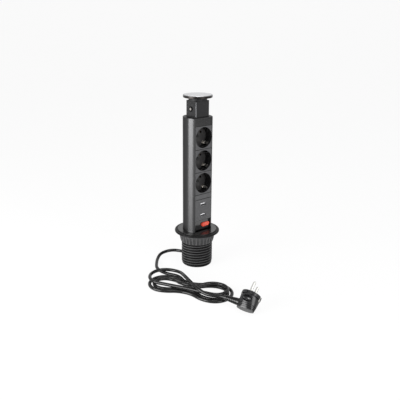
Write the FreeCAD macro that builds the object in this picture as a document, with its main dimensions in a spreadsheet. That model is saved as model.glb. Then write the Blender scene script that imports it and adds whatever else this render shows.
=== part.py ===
"""Pop-up desk socket tower for a 60 mm hole, drawn pulled up and standing on its sleeve.

Millimetres, Z up. The origin is the centre of the sleeve's lower end, on the surface that it
stands on. The sockets face -Y and the mains lead leaves the sleeve towards +Y.
"""
import FreeCAD, Part
import math
import os
import re

import Sketcher

from FreeCAD import Placement, Rotation, Vector

X_AXIS = Vector(1, 0, 0)
Y_AXIS = Vector(0, 1, 0)
Z_AXIS = Vector(0, 0, 1)

# Driving dimensions
SIZES = [
    ("tower_radius", 27.25),
    ("tower_clearance", 0.35),
    ("face_offset", 17.8),
    ("shell_wall", 1.8),
    ("bezel_depth", 3.0),
    ("seam_gap", 0.4),
    ("casing_lip", 0.8),
    ("running_gap", 0.3),
    ("barrel_wall", 1.25),
    ("thread_depth", 0.85),
    ("thread_pitch", 5.2),
    ("thread_start", 3.0),
    ("sleeve_height", 69.4),
    ("flange_reach", 13.1),
    ("flange_thickness", 3.2),
    ("flange_round", 1.4),
    ("collar_radius", 37.0),
    ("collar_rise", 1.4),
    ("skirt_wall", 2.2),
    ("skirt_rib", 1.6),
    ("slot_width", 12.0),
    ("slot_height", 19.0),
    ("gasket_setback", 3.0),
    ("gasket_thickness", 0.8),
    ("washer_thickness", 1.4),
    ("washer_reach", 5.3),
    ("nut_height", 17.5),
    ("nut_wall", 3.9),
    ("nut_taper", 3.0),
    ("nut_rim", 2.4),
    ("nut_clearance", 0.15),
    ("nut_rib_height", 0.9),
    ("nut_rib_width", 2.2),
    ("nut_rib_root", 0.6),
    ("nut_ribs", 30),
    ("tower_bottom", 24.0),
    ("foot_height", 12.0),
    ("plug_in_depth", 8.0),
    ("plug_in_wall", 3.0),
    ("port_x", 11.3),
    ("port_y", 19.3),
    ("port_radius", 2.9),
    ("screw_radius", 1.5),
    ("screw_head_radius", 2.8),
    ("switch_height", 56.5),
    ("switch_panel_depth", 6.0),
    ("switch_recess_depth", 4.0),
    ("switch_recess_height", 26.5),
    ("switch_recess_half_width", 19.0),
    ("rocker_x", 7.9),
    ("rocker_level", 81.6),
    ("rocker_length", 18.8),
    ("rocker_width", 7.6),
    ("rocker_gap", 0.25),
    ("rocker_side_gap", 0.4),
    ("rocker_depth", 6.0),
    ("rocker_tilt", 6.0),
    ("rocker_pin_radius", 1.0),
    ("rocker_pin_depth", 6.8),
    ("switch_housing_depth", 14.0),
    ("terminal_spacing", 7.0),
    ("terminal_width", 4.8),
    ("terminal_length", 6.0),
    ("terminal_thickness", 0.8),
    ("usb_height", 42.1),
    ("usb_upper_level", 31.6),
    ("usb_lower_level", 10.0),
    ("usb_width", 13.2),
    ("usb_opening", 5.8),
    ("usb_shell_wall", 0.4),
    ("usb_depth", 14.0),
    ("board_width", 37.0),
    ("board_thickness", 1.6),
    ("transformer_width", 16.0),
    ("transformer_depth", 10.4),
    ("capacitor_radius", 4.0),
    ("strip_height", 9.8),
    ("cup_clearance", 0.5),
    ("module_margin", 1.2),
    ("socket_recess_depth", 17.5),
    ("socket_floor", 2.5),
    ("socket_cup_wall", 1.1),
    ("contact_spacing", 19.0),
    ("contact_hole_radius", 2.5),
    ("contact_angle", 45.0),
    ("guide_rib_width", 4.0),
    ("guide_rib_height", 1.8),
    ("clip_width", 5.6),
    ("clip_thickness", 0.7),
    ("clip_slot_width", 6.2),
    ("contact_tube_radius", 3.2),
    ("contact_bore_radius", 2.5),
    ("carrier_radius", 15.5),
    ("carrier_gap", 0.6),
    ("bar_width", 7.4),
    ("earth_bar_width", 4.4),
    ("bar_thickness", 0.9),
    ("bar_clearance", 0.5),
    ("top_plate_height", 12.6),
    ("top_cap_lip", 2.0),
    ("neck_width", 31.6),
    ("neck_depth", 27.8),
    ("neck_height", 29.4),
    ("neck_wall", 2.2),
    ("neck_corner", 1.0),
    ("button_level", 14.8),
    ("button_radius", 2.4),
    ("button_length", 7.0),
    ("button_proud", 1.4),
    ("spring_length", 5.0),
    ("spring_gap", 0.3),
    ("spring_seat_thickness", 1.2),
    ("bush_flange_radius", 4.7),
    ("bush_radius", 3.9),
    ("stem_radius", 16.8),
    ("stem_height", 5.3),
    ("lid_radius", 26.7),
    ("lid_thickness", 4.9),
    ("lid_round", 0.9),
    ("lid_disc_radius", 25.2),
    ("lid_disc_thickness", 1.0),
    ("cord_radius", 3.1),
    ("lead_x", -9.0),
    ("lead_level", 12.5),
    ("boot_length", 24.0),
    ("boot_end_radius", 4.0),
    ("boot_root_radius", 5.6),
    ("plug_disc_radius", 17.2),
    ("plug_disc_depth", 6.0),
    ("plug_edge", 0.8),
    ("plug_step", 0.8),
    ("plug_belly", 4.5),
    ("hollow_half_length", 9.6),
    ("hollow_half_height", 5.4),
    ("hollow_depth", 7.0),
    ("plug_groove_width", 2.4),
    ("plug_groove_depth", 1.5),
    ("plug_ring_width", 1.0),
    ("plug_ring_spacing", 2.6),
    ("plug_strip_width", 4.4),
    ("plug_strip_length", 9.5),
    ("plug_strip_thickness", 0.8),
    ("plug_notch_depth", 1.6),
    ("plug_depth", 29.0),
    ("plug_back_half_width", 15.5),
    ("plug_back_half_height", 9.0),
    ("plug_exit_depth", 19.5),
    ("plug_tilt", 38.0),
    ("plug_heading", 16.0),
    ("plug_face_x", -46.5),
    ("plug_face_y", -197.0),
    ("plug_pin_radius", 2.4),
    ("plug_pin_length", 19.0),
    ("plug_relief_length", 28.0),
    ("plug_relief_root", 6.4),
    ("relief_ring_width", 1.5),
    ("relief_ring_spacing", 3.6),
    ("relief_ring_depth", 0.7),
    ("cord_socket_depth", 12.0),
]
size = dict(SIZES)

# Sizes that follow from the driving ones, written as sheet expressions
DERIVED = {
    "bezel_back": "(face_offset - bezel_depth)",
    "shell_inner": "(tower_radius - shell_wall)",
    "face_half": "sqrt(tower_radius * tower_radius - face_offset * face_offset)",
    "plate_half": "(face_half - casing_lip - seam_gap / 2)",
    "edge_half": "sqrt(shell_inner * shell_inner - bezel_back * bezel_back)",
    "cup_radius": "(edge_half - cup_clearance)",
    "socket_recess_radius": "(cup_radius - socket_cup_wall)",
    "socket_pitch": "(2 * (cup_radius + module_margin))",
    "bore_radius": "(tower_radius + tower_clearance)",
    "root_radius": "(bore_radius + barrel_wall)",
    "crest_radius": "(root_radius + thread_depth)",
    "flange_radius": "(crest_radius + flange_reach)",
    "washer_radius": "(crest_radius + washer_reach)",
    "nut_bore": "(crest_radius + nut_clearance)",
    "nut_radius": "(nut_bore + nut_wall)",
    "nut_bottom_radius": "(nut_radius - nut_taper)",
    "flange_under": "(sleeve_height - flange_thickness)",
    "collar_top": "(sleeve_height + collar_rise)",
    "gasket_bottom": "(flange_under - gasket_thickness)",
    "washer_bottom": "(gasket_bottom - washer_thickness)",
    "nut_bottom": "(washer_bottom - nut_height)",
    "shell_bottom": "(tower_bottom + foot_height)",
    "switch_top": "(shell_bottom + switch_height)",
    "usb_top": "(switch_top + usb_height)",
    "strip_top": "(usb_top + strip_height)",
    "sockets_top": "(strip_top + 3 * socket_pitch)",
    "shell_top": "(sockets_top + top_plate_height)",
    "tower_top": "(shell_top + top_cap_lip)",
    "neck_top": "(tower_top + neck_height)",
    "lid_bottom": "(neck_top + stem_height)",
    "lid_top": "(lid_bottom + lid_thickness)",
    "recess_floor": "(face_offset - socket_recess_depth)",
    "cup_back": "(recess_floor - socket_floor)",
    "carrier_front": "(clip_thickness + carrier_gap - cup_back)",
    "bar_front": "(port_y - port_radius - bar_clearance - bar_thickness)",
    "carrier_depth": "(bar_front - carrier_front)",
    "switch_back": "(face_offset - switch_panel_depth)",
    "switch_floor": "(face_offset - switch_recess_depth)",
}

doc = FreeCAD.newDocument("desk_socket_tower")
sheet = doc.addObject("Spreadsheet::Sheet", "sizes")
for row_number, (alias, value) in enumerate(SIZES, start=1):
    sheet.set(f"A{row_number}", alias)
    sheet.set(f"B{row_number}", str(value))
    sheet.setAlias(f"B{row_number}", alias)
doc.recompute()

WORD = re.compile(r"[a-z][a-z0-9_]+")


def spelled_out(text):
    """Replace derived names until only the sheet's own names are left."""
    text = str(text)
    while any(word in DERIVED for word in WORD.findall(text)):
        text = WORD.sub(lambda match: DERIVED.get(match.group(), match.group()), text)
    return text


def sized(text):
    """Turn the names of sizes in an expression into references to the sheet."""
    return WORD.sub(
        lambda match: f"sizes.{match.group()}" if match.group() in size else match.group(),
        spelled_out(text),
    )


present = dict(size)


def number_of(text):
    """The present value of an expression of sizes."""
    plain = WORD.sub(
        lambda match: f"({present[match.group()]})" if match.group() in present else match.group(),
        str(text),
    )
    return float(FreeCAD.Units.Quantity(plain).Value)


for derived_name, derived_text in DERIVED.items():
    present[derived_name] = number_of(derived_text)


def bind(item, prop, text):
    item.setExpression(prop, sized(text))


def place(item, x="0", y="0", z="0", axis=None, angle="0"):
    """Bind an object's position, and its turn about one axis, to sizes."""
    if axis is not None:
        item.Placement = Placement(Vector(0, 0, 0), Rotation(axis, 1.0))
        bind(item, ".Placement.Rotation.Angle", angle)
    for letter, text in (("x", x), ("y", y), ("z", z)):
        bind(item, f".Placement.Base.{letter}", text)
    return item


def cylinder(name, radius, length, x="0", y="0", z="0", along=Z_AXIS):
    """A round bar that starts at the given point and runs along an axis."""
    item = doc.addObject("Part::Cylinder", name)
    bind(item, "Radius", radius)
    bind(item, "Height", length)
    item.Placement = Placement(Vector(0, 0, 0), Rotation(Z_AXIS, along))
    for letter, text in (("x", x), ("y", y), ("z", z)):
        bind(item, f".Placement.Base.{letter}", text)
    return item


def cone(name, radius1, radius2, length, x="0", y="0", z="0", along=Z_AXIS):
    item = doc.addObject("Part::Cone", name)
    bind(item, "Radius1", radius1)
    bind(item, "Radius2", radius2)
    bind(item, "Height", length)
    item.Placement = Placement(Vector(0, 0, 0), Rotation(Z_AXIS, along))
    for letter, text in (("x", x), ("y", y), ("z", z)):
        bind(item, f".Placement.Base.{letter}", text)
    return item


def box(name, x0, x1, y0, y1, z0, z1):
    """A block between two corners, each written as an expression."""
    item = doc.addObject("Part::Box", name)
    bind(item, "Length", f"({x1}) - ({x0})")
    bind(item, "Width", f"({y1}) - ({y0})")
    bind(item, "Height", f"({z1}) - ({z0})")
    return place(item, x0, y0, z0)


def fuse(name, shapes):
    item = doc.addObject("Part::MultiFuse", name)
    item.Shapes = shapes
    item.Refine = True
    return item


def cut(name, base, tools):
    item = doc.addObject("Part::Cut", name)
    item.Base = base
    item.Tool = tools[0] if len(tools) == 1 else fuse(name + "_tools", tools)
    item.Refine = True
    return item


def common(name, first, second):
    item = doc.addObject("Part::Common", name)
    item.Base = first
    item.Tool = second
    item.Refine = True
    return item


kept = []


def keep(item, label):
    """Give a finished piece the name that its file will have."""
    item.Label = label
    kept.append(item)
    return item


def ring_grooves(name, slabs, core):
    """The tool that cuts rings into a blank: slabs across it, less the core that stays."""
    return cut(name, fuse(name + "_slabs", slabs), [core])


def body_plane(body, role):
    return next(item for item in body.Origin.OriginFeatures if item.Role == role)


def new_sketch(body, role, name, offset="0", turn=None, turn_axis=Z_AXIS):
    """A sketch on one of its body's own planes, raised by an offset and turned about its own axis."""
    sketch = body.newObject("Sketcher::SketchObject", name)
    sketch.AttachmentSupport = [(body_plane(body, role), "")]
    sketch.MapMode = "FlatFace"
    if turn is not None:
        sketch.AttachmentOffset = Placement(Vector(0, 0, 0), Rotation(turn_axis, 1.0))
        bind(sketch, ".AttachmentOffset.Rotation.Angle", turn)
    bind(sketch, ".AttachmentOffset.Base.z", offset)
    return sketch


def rule(sketch, kind, *args, size_text=None):
    """Add a constraint, and bind its value when it has one."""
    number = sketch.addConstraint(Sketcher.Constraint(kind, *args))
    if size_text is not None:
        bind(sketch, f"Constraints[{number}]", size_text)


def draw_polygon(sketch, corners):
    """A closed outline of straight lines, each corner bound to two expressions."""
    guesses = [Vector(*(number_of(text) for text in corner), 0) for corner in corners]
    first = sketch.GeometryCount
    count = len(corners)
    for index in range(count):
        sketch.addGeometry(Part.LineSegment(guesses[index], guesses[(index + 1) % count]), False)
    for index in range(count):
        rule(sketch, "Coincident", first + index, 2, first + (index + 1) % count, 1)
    for index, (x_text, y_text) in enumerate(corners):
        point = (first + index, 1)
        spot = guesses[index]
        rule(sketch, "DistanceX", -1, 1, *point, spot.x, size_text=x_text)
        rule(sketch, "DistanceY", -1, 1, *point, spot.y, size_text=y_text)


def draw_circle(sketch, radius, x="0", y="0"):
    spot = Vector(number_of(x), number_of(y), 0)
    number = sketch.addGeometry(Part.Circle(spot, Z_AXIS, number_of(radius)), False)
    rule(sketch, "Radius", number, number_of(radius), size_text=radius)
    if x == "0" and y == "0":
        rule(sketch, "Coincident", number, 3, -1, 1)
    else:
        rule(sketch, "DistanceX", -1, 1, number, 3, spot.x, size_text=x)
        rule(sketch, "DistanceY", -1, 1, number, 3, spot.y, size_text=y)


def pad(body, sketch, name, length, midplane=False, reverse=False):
    item = body.newObject("PartDesign::Pad", name)
    item.Profile = sketch
    item.Midplane = midplane
    item.Reversed = reverse
    bind(item, "Length", length)
    return item


def pocket(body, sketch, name, length, reverse=False):
    item = body.newObject("PartDesign::Pocket", name)
    item.Profile = sketch
    item.Reversed = reverse
    bind(item, "Length", length)
    return item


def revolve(body, sketch, name):
    """Turn a profile drawn in the XZ plane all the way round Z."""
    item = body.newObject("PartDesign::Revolution", name)
    item.Profile = sketch
    item.ReferenceAxis = (sketch, ["V_Axis"])
    item.Angle = 360.0
    return item


def repeat_round(body, feature, axis, name, count):
    item = body.newObject("PartDesign::PolarPattern", name)
    item.Originals = [feature]
    item.Axis = axis
    item.Angle = 360.0
    bind(item, "Occurrences", count)
    body.Tip = item
    return item


# Sleeve, collar, gasket, washer and nut


def thread_corners():
    """The barrel's outer profile, from the flange down, one groove to a turn."""
    corners = []
    turns = int((number_of("flange_under") - number_of("thread_start")) / number_of("thread_pitch"))
    for turn in reversed(range(turns)):
        base = f"thread_start + {turn} * thread_pitch"
        corners.append(("crest_radius", f"{base} + 0.80 * thread_pitch"))
        corners.append(("crest_radius", f"{base} + 0.45 * thread_pitch"))
        corners.append(("root_radius", f"{base} + 0.25 * thread_pitch"))
        corners.append(("root_radius", base))
    return corners


def make_sleeve():
    body = doc.addObject("PartDesign::Body", "sleeve_body")
    profile = new_sketch(body, "XZ_Plane", "sleeve_profile")
    corners = [
        ("bore_radius", "0"),
        ("bore_radius", "sleeve_height"),
        ("flange_radius - flange_round", "sleeve_height"),
        ("flange_radius", "sleeve_height - flange_round"),
        ("flange_radius", "flange_under + 0.4"),
        ("flange_radius - 0.4", "flange_under"),
        ("root_radius", "flange_under"),
    ]
    corners += thread_corners()
    corners.append(("root_radius - 0.4", "0"))
    draw_polygon(profile, corners)
    revolve(body, profile, "sleeve_turned")
    slot = new_sketch(body, "XZ_Plane", "slot_outline")
    half = "slot_width / 2"
    draw_polygon(
        slot,
        [
            (f"lead_x - {half}", "-1"),
            (f"lead_x + {half}", "-1"),
            (f"lead_x + {half}", "slot_height - 3"),
            (f"lead_x + {half} - 3", "slot_height"),
            (f"lead_x - {half} + 3", "slot_height"),
            (f"lead_x - {half}", "slot_height - 3"),
        ],
    )
    pocket(body, slot, "lead_slot", "flange_radius")
    return keep(body, "mounting_sleeve")


def make_collar():
    """The ring on the flange, whose opening has the tower's own flat-sided outline."""
    ring = cylinder("collar_ring", "collar_radius", "collar_rise", z="sleeve_height")
    skirt_drop = "sleeve_height - shell_bottom - running_gap"
    skirt = cylinder("skirt_round", "bore_radius - 0.1", skirt_drop, z="shell_bottom + running_gap")
    inner = "face_offset + running_gap"
    wall_back = f"{inner} + skirt_wall"
    wall = box(
        "skirt_wall_box", "-bore_radius", "bore_radius", f"-({wall_back})", f"-({inner})",
        "shell_bottom", "sleeve_height",
    )
    ribs = [
        box(
            f"skirt_rib_{index}", f"{middle} - skirt_rib / 2", f"{middle} + skirt_rib / 2",
            "-bore_radius", f"-({inner})", "shell_bottom", "sleeve_height",
        )
        for index, middle in enumerate(("-9", "0", "9"))
    ]
    skirt_parts = fuse("skirt_parts", [wall] + ribs)
    skirt_kept = common("skirt", skirt, skirt_parts)
    whole = fuse("collar_whole", [ring, skirt_kept])
    mouth = cylinder("collar_mouth", "bore_radius", "sleeve_height", z="shell_bottom")
    mouth_box = box(
        "collar_mouth_box", "-collar_radius", "collar_radius", f"-({inner})", "collar_radius",
        "shell_bottom", "collar_top + 1",
    )
    opening = common("collar_opening", mouth, mouth_box)
    return keep(cut("collar_body", whole, [opening]), "guide_collar")


def make_ring(name, label, inner, outer, bottom, height):
    disc = cylinder(name + "_disc", outer, height, z=bottom)
    hole = cylinder(name + "_hole", inner, f"{height} + 2", z=f"{bottom} - 1")
    return keep(cut(name, disc, [hole]), label)


def make_nut():
    """A hand nut with a plain rim, whose ribbed wall draws in towards its lower edge."""
    body = doc.addObject("PartDesign::Body", "nut_body")
    profile = new_sketch(body, "XZ_Plane", "nut_profile")
    draw_polygon(
        profile,
        [
            ("nut_bore", "nut_bottom"),
            ("nut_bore", "washer_bottom"),
            ("nut_radius + nut_rib_height", "washer_bottom"),
            ("nut_radius + nut_rib_height", "washer_bottom - nut_rim"),
            ("nut_radius", "washer_bottom - nut_rim"),
            ("nut_bottom_radius", "nut_bottom"),
        ],
    )
    revolve(body, profile, "nut_turned")
    rib = new_sketch(body, "XZ_Plane", "nut_rib_outline")
    draw_polygon(
        rib,
        [
            ("nut_radius - nut_rib_root", "washer_bottom - nut_rim / 2"),
            ("nut_radius + nut_rib_height", "washer_bottom - nut_rim / 2"),
            ("nut_radius + nut_rib_height", "washer_bottom - nut_rim"),
            ("nut_bottom_radius + nut_rib_height", "nut_bottom + nut_rib_height"),
            ("nut_bottom_radius - nut_rib_root", "nut_bottom + nut_rib_height"),
        ],
    )
    rib_pad = pad(body, rib, "nut_rib", "nut_rib_width", midplane=True)
    repeat_round(body, rib_pad, (body_plane(body, "Z_Axis"), [""]), "nut_ribs", "nut_ribs")
    return keep(body, "clamp_nut")


# Tower casing


def d_segment(name, radius, flat, bottom, top):
    """A round slug with its front cut flat at a distance from the axis."""
    slug = cylinder(name + "_slug", radius, f"({top}) - ({bottom})", z=bottom)
    block = box(name + "_block", "-40", "40", f"-({flat})", "40", f"({bottom}) - 1", f"({top}) + 1")
    return common(name, slug, block)


def make_shell():
    """The extruded casing: a C in plan with a lip at each front edge, and two screw ports inside."""
    body = doc.addObject("PartDesign::Body", "shell_body")
    profile = new_sketch(body, "XY_Plane", "shell_profile", offset="shell_bottom")
    outer_radius = number_of("tower_radius")
    inner_radius = number_of("shell_inner")
    face = -number_of("face_offset")
    back = -number_of("bezel_back")
    lip_x = number_of("face_half - casing_lip")
    outer_start = math.asin(face / outer_radius)
    inner_start = math.asin(back / inner_radius)
    origin = Vector(0, 0, 0)
    outer = profile.addGeometry(
        Part.ArcOfCircle(Part.Circle(origin, Z_AXIS, outer_radius), outer_start, math.pi - outer_start)
    )
    inner = profile.addGeometry(
        Part.ArcOfCircle(Part.Circle(origin, Z_AXIS, inner_radius), inner_start, math.pi - inner_start)
    )
    rule(profile, "Coincident", outer, 3, -1, 1)
    rule(profile, "Coincident", inner, 3, -1, 1)
    rule(profile, "Radius", outer, outer_radius, size_text="tower_radius")
    rule(profile, "Radius", inner, inner_radius, size_text="shell_inner")
    for side, outer_end, inner_end in ((1, 1, 1), (-1, 2, 2)):
        corner = Vector(side * outer_radius * math.cos(outer_start), face, 0)
        lip_front = Vector(side * lip_x, face, 0)
        lip_back = Vector(side * lip_x, back, 0)
        wall = Vector(side * inner_radius * math.cos(inner_start), back, 0)
        front = profile.addGeometry(Part.LineSegment(corner, lip_front))
        lip = profile.addGeometry(Part.LineSegment(lip_front, lip_back))
        shoulder = profile.addGeometry(Part.LineSegment(lip_back, wall))
        rule(profile, "Coincident", front, 1, outer, outer_end)
        rule(profile, "Coincident", front, 2, lip, 1)
        rule(profile, "Coincident", lip, 2, shoulder, 1)
        rule(profile, "Coincident", shoulder, 2, inner, inner_end)
        rule(profile, "Horizontal", front)
        rule(profile, "Vertical", lip)
        rule(profile, "Horizontal", shoulder)
        rule(profile, "DistanceY", -1, 1, front, 1, face, size_text="-face_offset")
        rule(profile, "DistanceY", -1, 1, shoulder, 1, back, size_text="-bezel_back")
        sign = "" if side > 0 else "-"
        rule(profile, "DistanceX", -1, 1, lip, 1, side * lip_x, size_text=f"{sign}(face_half - casing_lip)")
    length = "shell_top - shell_bottom"
    pad(body, profile, "shell_wall_pad", length)
    bosses = new_sketch(body, "XY_Plane", "port_outline", offset="shell_bottom")
    holes = new_sketch(body, "XY_Plane", "port_hole_outline", offset="shell_bottom")
    for side in ("", "-"):
        draw_circle(bosses, "port_radius", f"{side}port_x", "port_y")
        draw_circle(holes, "screw_radius - 0.2", f"{side}port_x", "port_y")
    pad(body, bosses, "screw_ports", length)
    pocket(body, holes, "screw_port_holes", length, reverse=True)
    return keep(body, "tower_shell")


PORT_PLACES = ("port_x", "-port_x")


def make_foot():
    """The lower end cap: round, so that it stops under the collar's skirt."""
    round_part = cylinder("foot_round", "tower_radius", "foot_height", z="tower_bottom")
    spigot = d_segment(
        "foot_spigot", "shell_inner - 0.1", "switch_back - 0.2", "shell_bottom - 1",
        "shell_bottom + plug_in_depth",
    )
    whole = fuse("foot_whole", [round_part, spigot])
    hollow = cylinder(
        "foot_hollow", "shell_inner - plug_in_wall", "foot_height + plug_in_depth",
        z="tower_bottom + 3",
    )
    hollow_front = box(
        "foot_hollow_box", "-40", "40", "-(switch_back - 3)", "40", "tower_bottom", "shell_top"
    )
    inside = common("foot_inside", hollow, hollow_front)
    lead_hole = cylinder("foot_lead_hole", "cord_radius + 1", "8", x="lead_x", y="-4", z="tower_bottom - 1")
    tools = [inside, lead_hole]
    for index, x in enumerate(PORT_PLACES):
        tools.append(cylinder(f"foot_port_{index}", "port_radius + 0.2", "plug_in_depth + 2",
                              x=x, y="port_y", z="shell_bottom"))
        tools.append(cylinder(f"foot_screw_{index}", "screw_radius + 0.1", "foot_height + 2",
                              x=x, y="port_y", z="tower_bottom - 1"))
        tools.append(cylinder(f"foot_head_{index}", "screw_head_radius + 0.2", "3",
                              x=x, y="port_y", z="tower_bottom - 1"))
    return keep(cut("foot_cut", whole, tools), "bottom_end_cap")


def make_foot_screws():
    screws = []
    for index, x in enumerate(PORT_PLACES):
        head = cylinder(f"end_head_{index}", "screw_head_radius", "1.8", x=x, y="port_y",
                        z="tower_bottom + 0.2")
        shank = cylinder(f"end_shank_{index}", "screw_radius - 0.25", "foot_height + 8",
                         x=x, y="port_y", z="tower_bottom + 1")
        screws.append(fuse(f"end_screw_{index}", [head, shank]))
    group = doc.addObject("Part::Compound", "end_screws")
    group.Links = screws
    return keep(group, "end_cap_screws")


def make_top_cap():
    lip = d_segment("cap_lip", "tower_radius", "face_offset", "shell_top", "tower_top")
    spigot = d_segment(
        "cap_spigot", "shell_inner - 0.1", "bezel_back - 0.2", "shell_top - plug_in_depth", "shell_top + 1"
    )
    whole = fuse("cap_whole", [lip, spigot])
    hollow = cylinder(
        "cap_hollow", "shell_inner - plug_in_wall", "plug_in_depth", z="shell_top - plug_in_depth - 1"
    )
    hollow_front = box(
        "cap_hollow_box", "-40", "40", "-(bezel_back - 3)", "40", "sockets_top", "shell_top"
    )
    inside = common("cap_inside", hollow, hollow_front)
    tools = [inside]
    for index, x in enumerate(PORT_PLACES):
        tools.append(cylinder(f"cap_port_{index}", "port_radius + 0.2", "plug_in_depth + 1",
                              x=x, y="port_y", z="shell_top - plug_in_depth - 1"))
    rod_hole = box("cap_rod_hole", "-8", "-2", "4", "11", "sockets_top", "tower_top + 1")
    tools.append(rod_hole)
    return keep(cut("cap_cut", whole, tools), "top_end_cap")


def make_neck():
    body = doc.addObject("PartDesign::Body", "neck_body")
    outline = new_sketch(body, "XY_Plane", "neck_outline", offset="tower_top")
    x, y = "neck_width / 2", "neck_depth / 2"
    corner = "neck_corner"
    draw_polygon(
        outline,
        [
            (f"{x} - {corner}", f"-{y}"),
            (x, f"-{y} + {corner}"),
            (x, f"{y} - {corner}"),
            (f"{x} - {corner}", y),
            (f"-{x} + {corner}", y),
            (f"-{x}", f"{y} - {corner}"),
            (f"-{x}", f"-{y} + {corner}"),
            (f"-{x} + {corner}", f"-{y}"),
        ],
    )
    pad(body, outline, "neck_block_pad", "neck_height")
    inside = new_sketch(body, "XY_Plane", "neck_inside", offset="tower_top")
    wall = "neck_wall"
    draw_polygon(
        inside,
        [
            (f"{x} - {wall}", f"-{y} + {wall}"),
            (f"{x} - {wall}", f"{y} - {wall}"),
            (f"-{x} + {wall}", f"{y} - {wall}"),
            (f"-{x} + {wall}", f"-{y} + {wall}"),
        ],
    )
    pocket(body, inside, "neck_hollow", "neck_height - neck_wall", reverse=True)
    button = new_sketch(body, "YZ_Plane", "button_hole_outline")
    draw_circle(button, "bush_radius + 0.05", "0", "tower_top + button_level")
    pocket(body, button, "button_hole", "neck_width")
    screw = new_sketch(body, "XY_Plane", "lid_screw_outline", offset="neck_top")
    draw_circle(screw, "screw_radius + 0.2")
    pocket(body, screw, "lid_screw_hole", "neck_wall + 1")
    return keep(body, "neck_block")


def make_release_button():
    level = "tower_top + button_level"
    outside = "-(neck_width / 2)"
    flange = cylinder("bush_flange", "bush_flange_radius", "0.8", x=f"{outside} - 0.8", z=level, along=X_AXIS)
    barrel = cylinder("bush_barrel", "bush_radius", "4.2", x=f"{outside} - 0.1", z=level, along=X_AXIS)
    bore = cylinder("bush_bore", "button_radius + 0.1", "8", x=f"{outside} - 2", z=level, along=X_AXIS)
    keep(cut("bush_cut", fuse("bush_whole", [flange, barrel]), [bore]), "button_bush")
    pin = cylinder("button_pin", "button_radius", "button_length", x=f"{outside} - button_proud",
                   z=level, along=X_AXIS)
    button_back = f"{outside} - button_proud + button_length"
    shoulder = cylinder("button_shoulder", "button_radius + 0.9", "1.4", x=f"{button_back} - 1.2",
                        z=level, along=X_AXIS)
    keep(fuse("button_whole", [pin, shoulder]), "release_button")
    spring_x = f"{button_back} + 0.2 + spring_gap"
    spring_outer = cylinder("spring_outer", "button_radius + 0.7", "spring_length", x=spring_x,
                            z=level, along=X_AXIS)
    spring_inner = cylinder("spring_inner", "button_radius - 0.1", "spring_length + 2",
                            x=f"{spring_x} - 1", z=level, along=X_AXIS)
    keep(cut("spring_cut", spring_outer, [spring_inner]), "button_spring")
    seat_x = f"{spring_x} + spring_length + spring_gap"
    seat = box("seat_wall", seat_x, f"{seat_x} + spring_seat_thickness", "-5", "5", f"{level} - 6",
               "neck_top - neck_wall")
    spigot = cylinder("seat_spigot", "button_radius - 0.4", "2.4", x=f"{seat_x} - 2", z=level, along=X_AXIS)
    keep(fuse("seat_whole", [seat, spigot]), "spring_seat")


def make_lid():
    body = doc.addObject("PartDesign::Body", "lid_body")
    profile = new_sketch(body, "XZ_Plane", "lid_profile")
    draw_polygon(
        profile,
        [
            ("0", "lid_bottom"),
            ("lid_radius - lid_round * 0.6", "lid_bottom"),
            ("lid_radius", "lid_bottom + lid_round * 0.6"),
            ("lid_radius", "lid_top - lid_round"),
            ("lid_radius - lid_round", "lid_top"),
            ("lid_disc_radius + 0.1", "lid_top"),
            ("lid_disc_radius + 0.1", "lid_top - lid_disc_thickness"),
            ("0", "lid_top - lid_disc_thickness"),
        ],
    )
    revolve(body, profile, "lid_turned")
    keep(body, "lid_rim")
    disc = cylinder("lid_disc_body", "lid_disc_radius", "lid_disc_thickness + 0.1",
                    z="lid_top - lid_disc_thickness")
    keep(disc, "lid_disc")
    stem = cylinder("stem_round", "stem_radius", "stem_height", z="neck_top")
    stem_hole = cylinder("stem_hole", "screw_radius - 0.25", "stem_height - 1", z="neck_top - 0.5")
    keep(cut("stem_cut", stem, [stem_hole]), "lid_stem")
    head = cylinder("lid_screw_head", "screw_head_radius", "1.8", z="neck_top - neck_wall - 1.8")
    shank = cylinder("lid_screw_shank", "screw_radius - 0.25", "neck_wall + stem_height - 2",
                     z="neck_top - neck_wall - 0.1")
    keep(fuse("lid_screw_whole", [head, shank]), "lid_screw")


# Face modules


def bezel(name, bottom, top):
    """A front plate between the casing's lips and between two levels."""
    gap = "seam_gap / 2"
    return box(name + "_plate", "-plate_half", "plate_half", "-face_offset", "-bezel_back",
               f"{bottom} + {gap}", f"{top} - {gap}")


def clip_tabs(name, bottom, top):
    """Two snap tabs behind a plate, against the casing's inner edges."""
    tabs = []
    for index, side in enumerate(("-", "")):
        x0, x1 = f"{side}(edge_half - 4.2)", f"{side}(edge_half - 2.2)"
        if side == "-":
            x0, x1 = x1, x0
        tabs.append(box(f"{name}_tab_{index}", x0, x1, "-bezel_back - 0.5", "-bezel_back + 3",
                        f"{bottom} + 2", f"{top} - 2"))
    return tabs


def make_plates():
    top = fuse("top_plate_whole", [bezel("top_plate_front", "sockets_top", "shell_top")]
               + clip_tabs("top_plate", "sockets_top", "sockets_top + 5"))
    keep(top, "top_plate")
    strip = fuse("strip_whole", [bezel("strip_front", "usb_top", "strip_top")]
                 + clip_tabs("strip", "usb_top", "strip_top"))
    keep(strip, "filler_strip")


SOCKETS = ("lower", "middle", "upper")


def socket_level(index):
    return f"strip_top + {index} * socket_pitch + socket_pitch / 2"


def face_body(name, level):
    """A body whose own XY plane lies on the tower's face, at a level, with its Z pointing out."""
    body = doc.addObject("PartDesign::Body", name)
    body.Placement = Placement(Vector(0, 0, 0), Rotation(X_AXIS, 90))
    bind(body, ".Placement.Base.y", "-face_offset")
    bind(body, ".Placement.Base.z", level)
    return body


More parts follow.
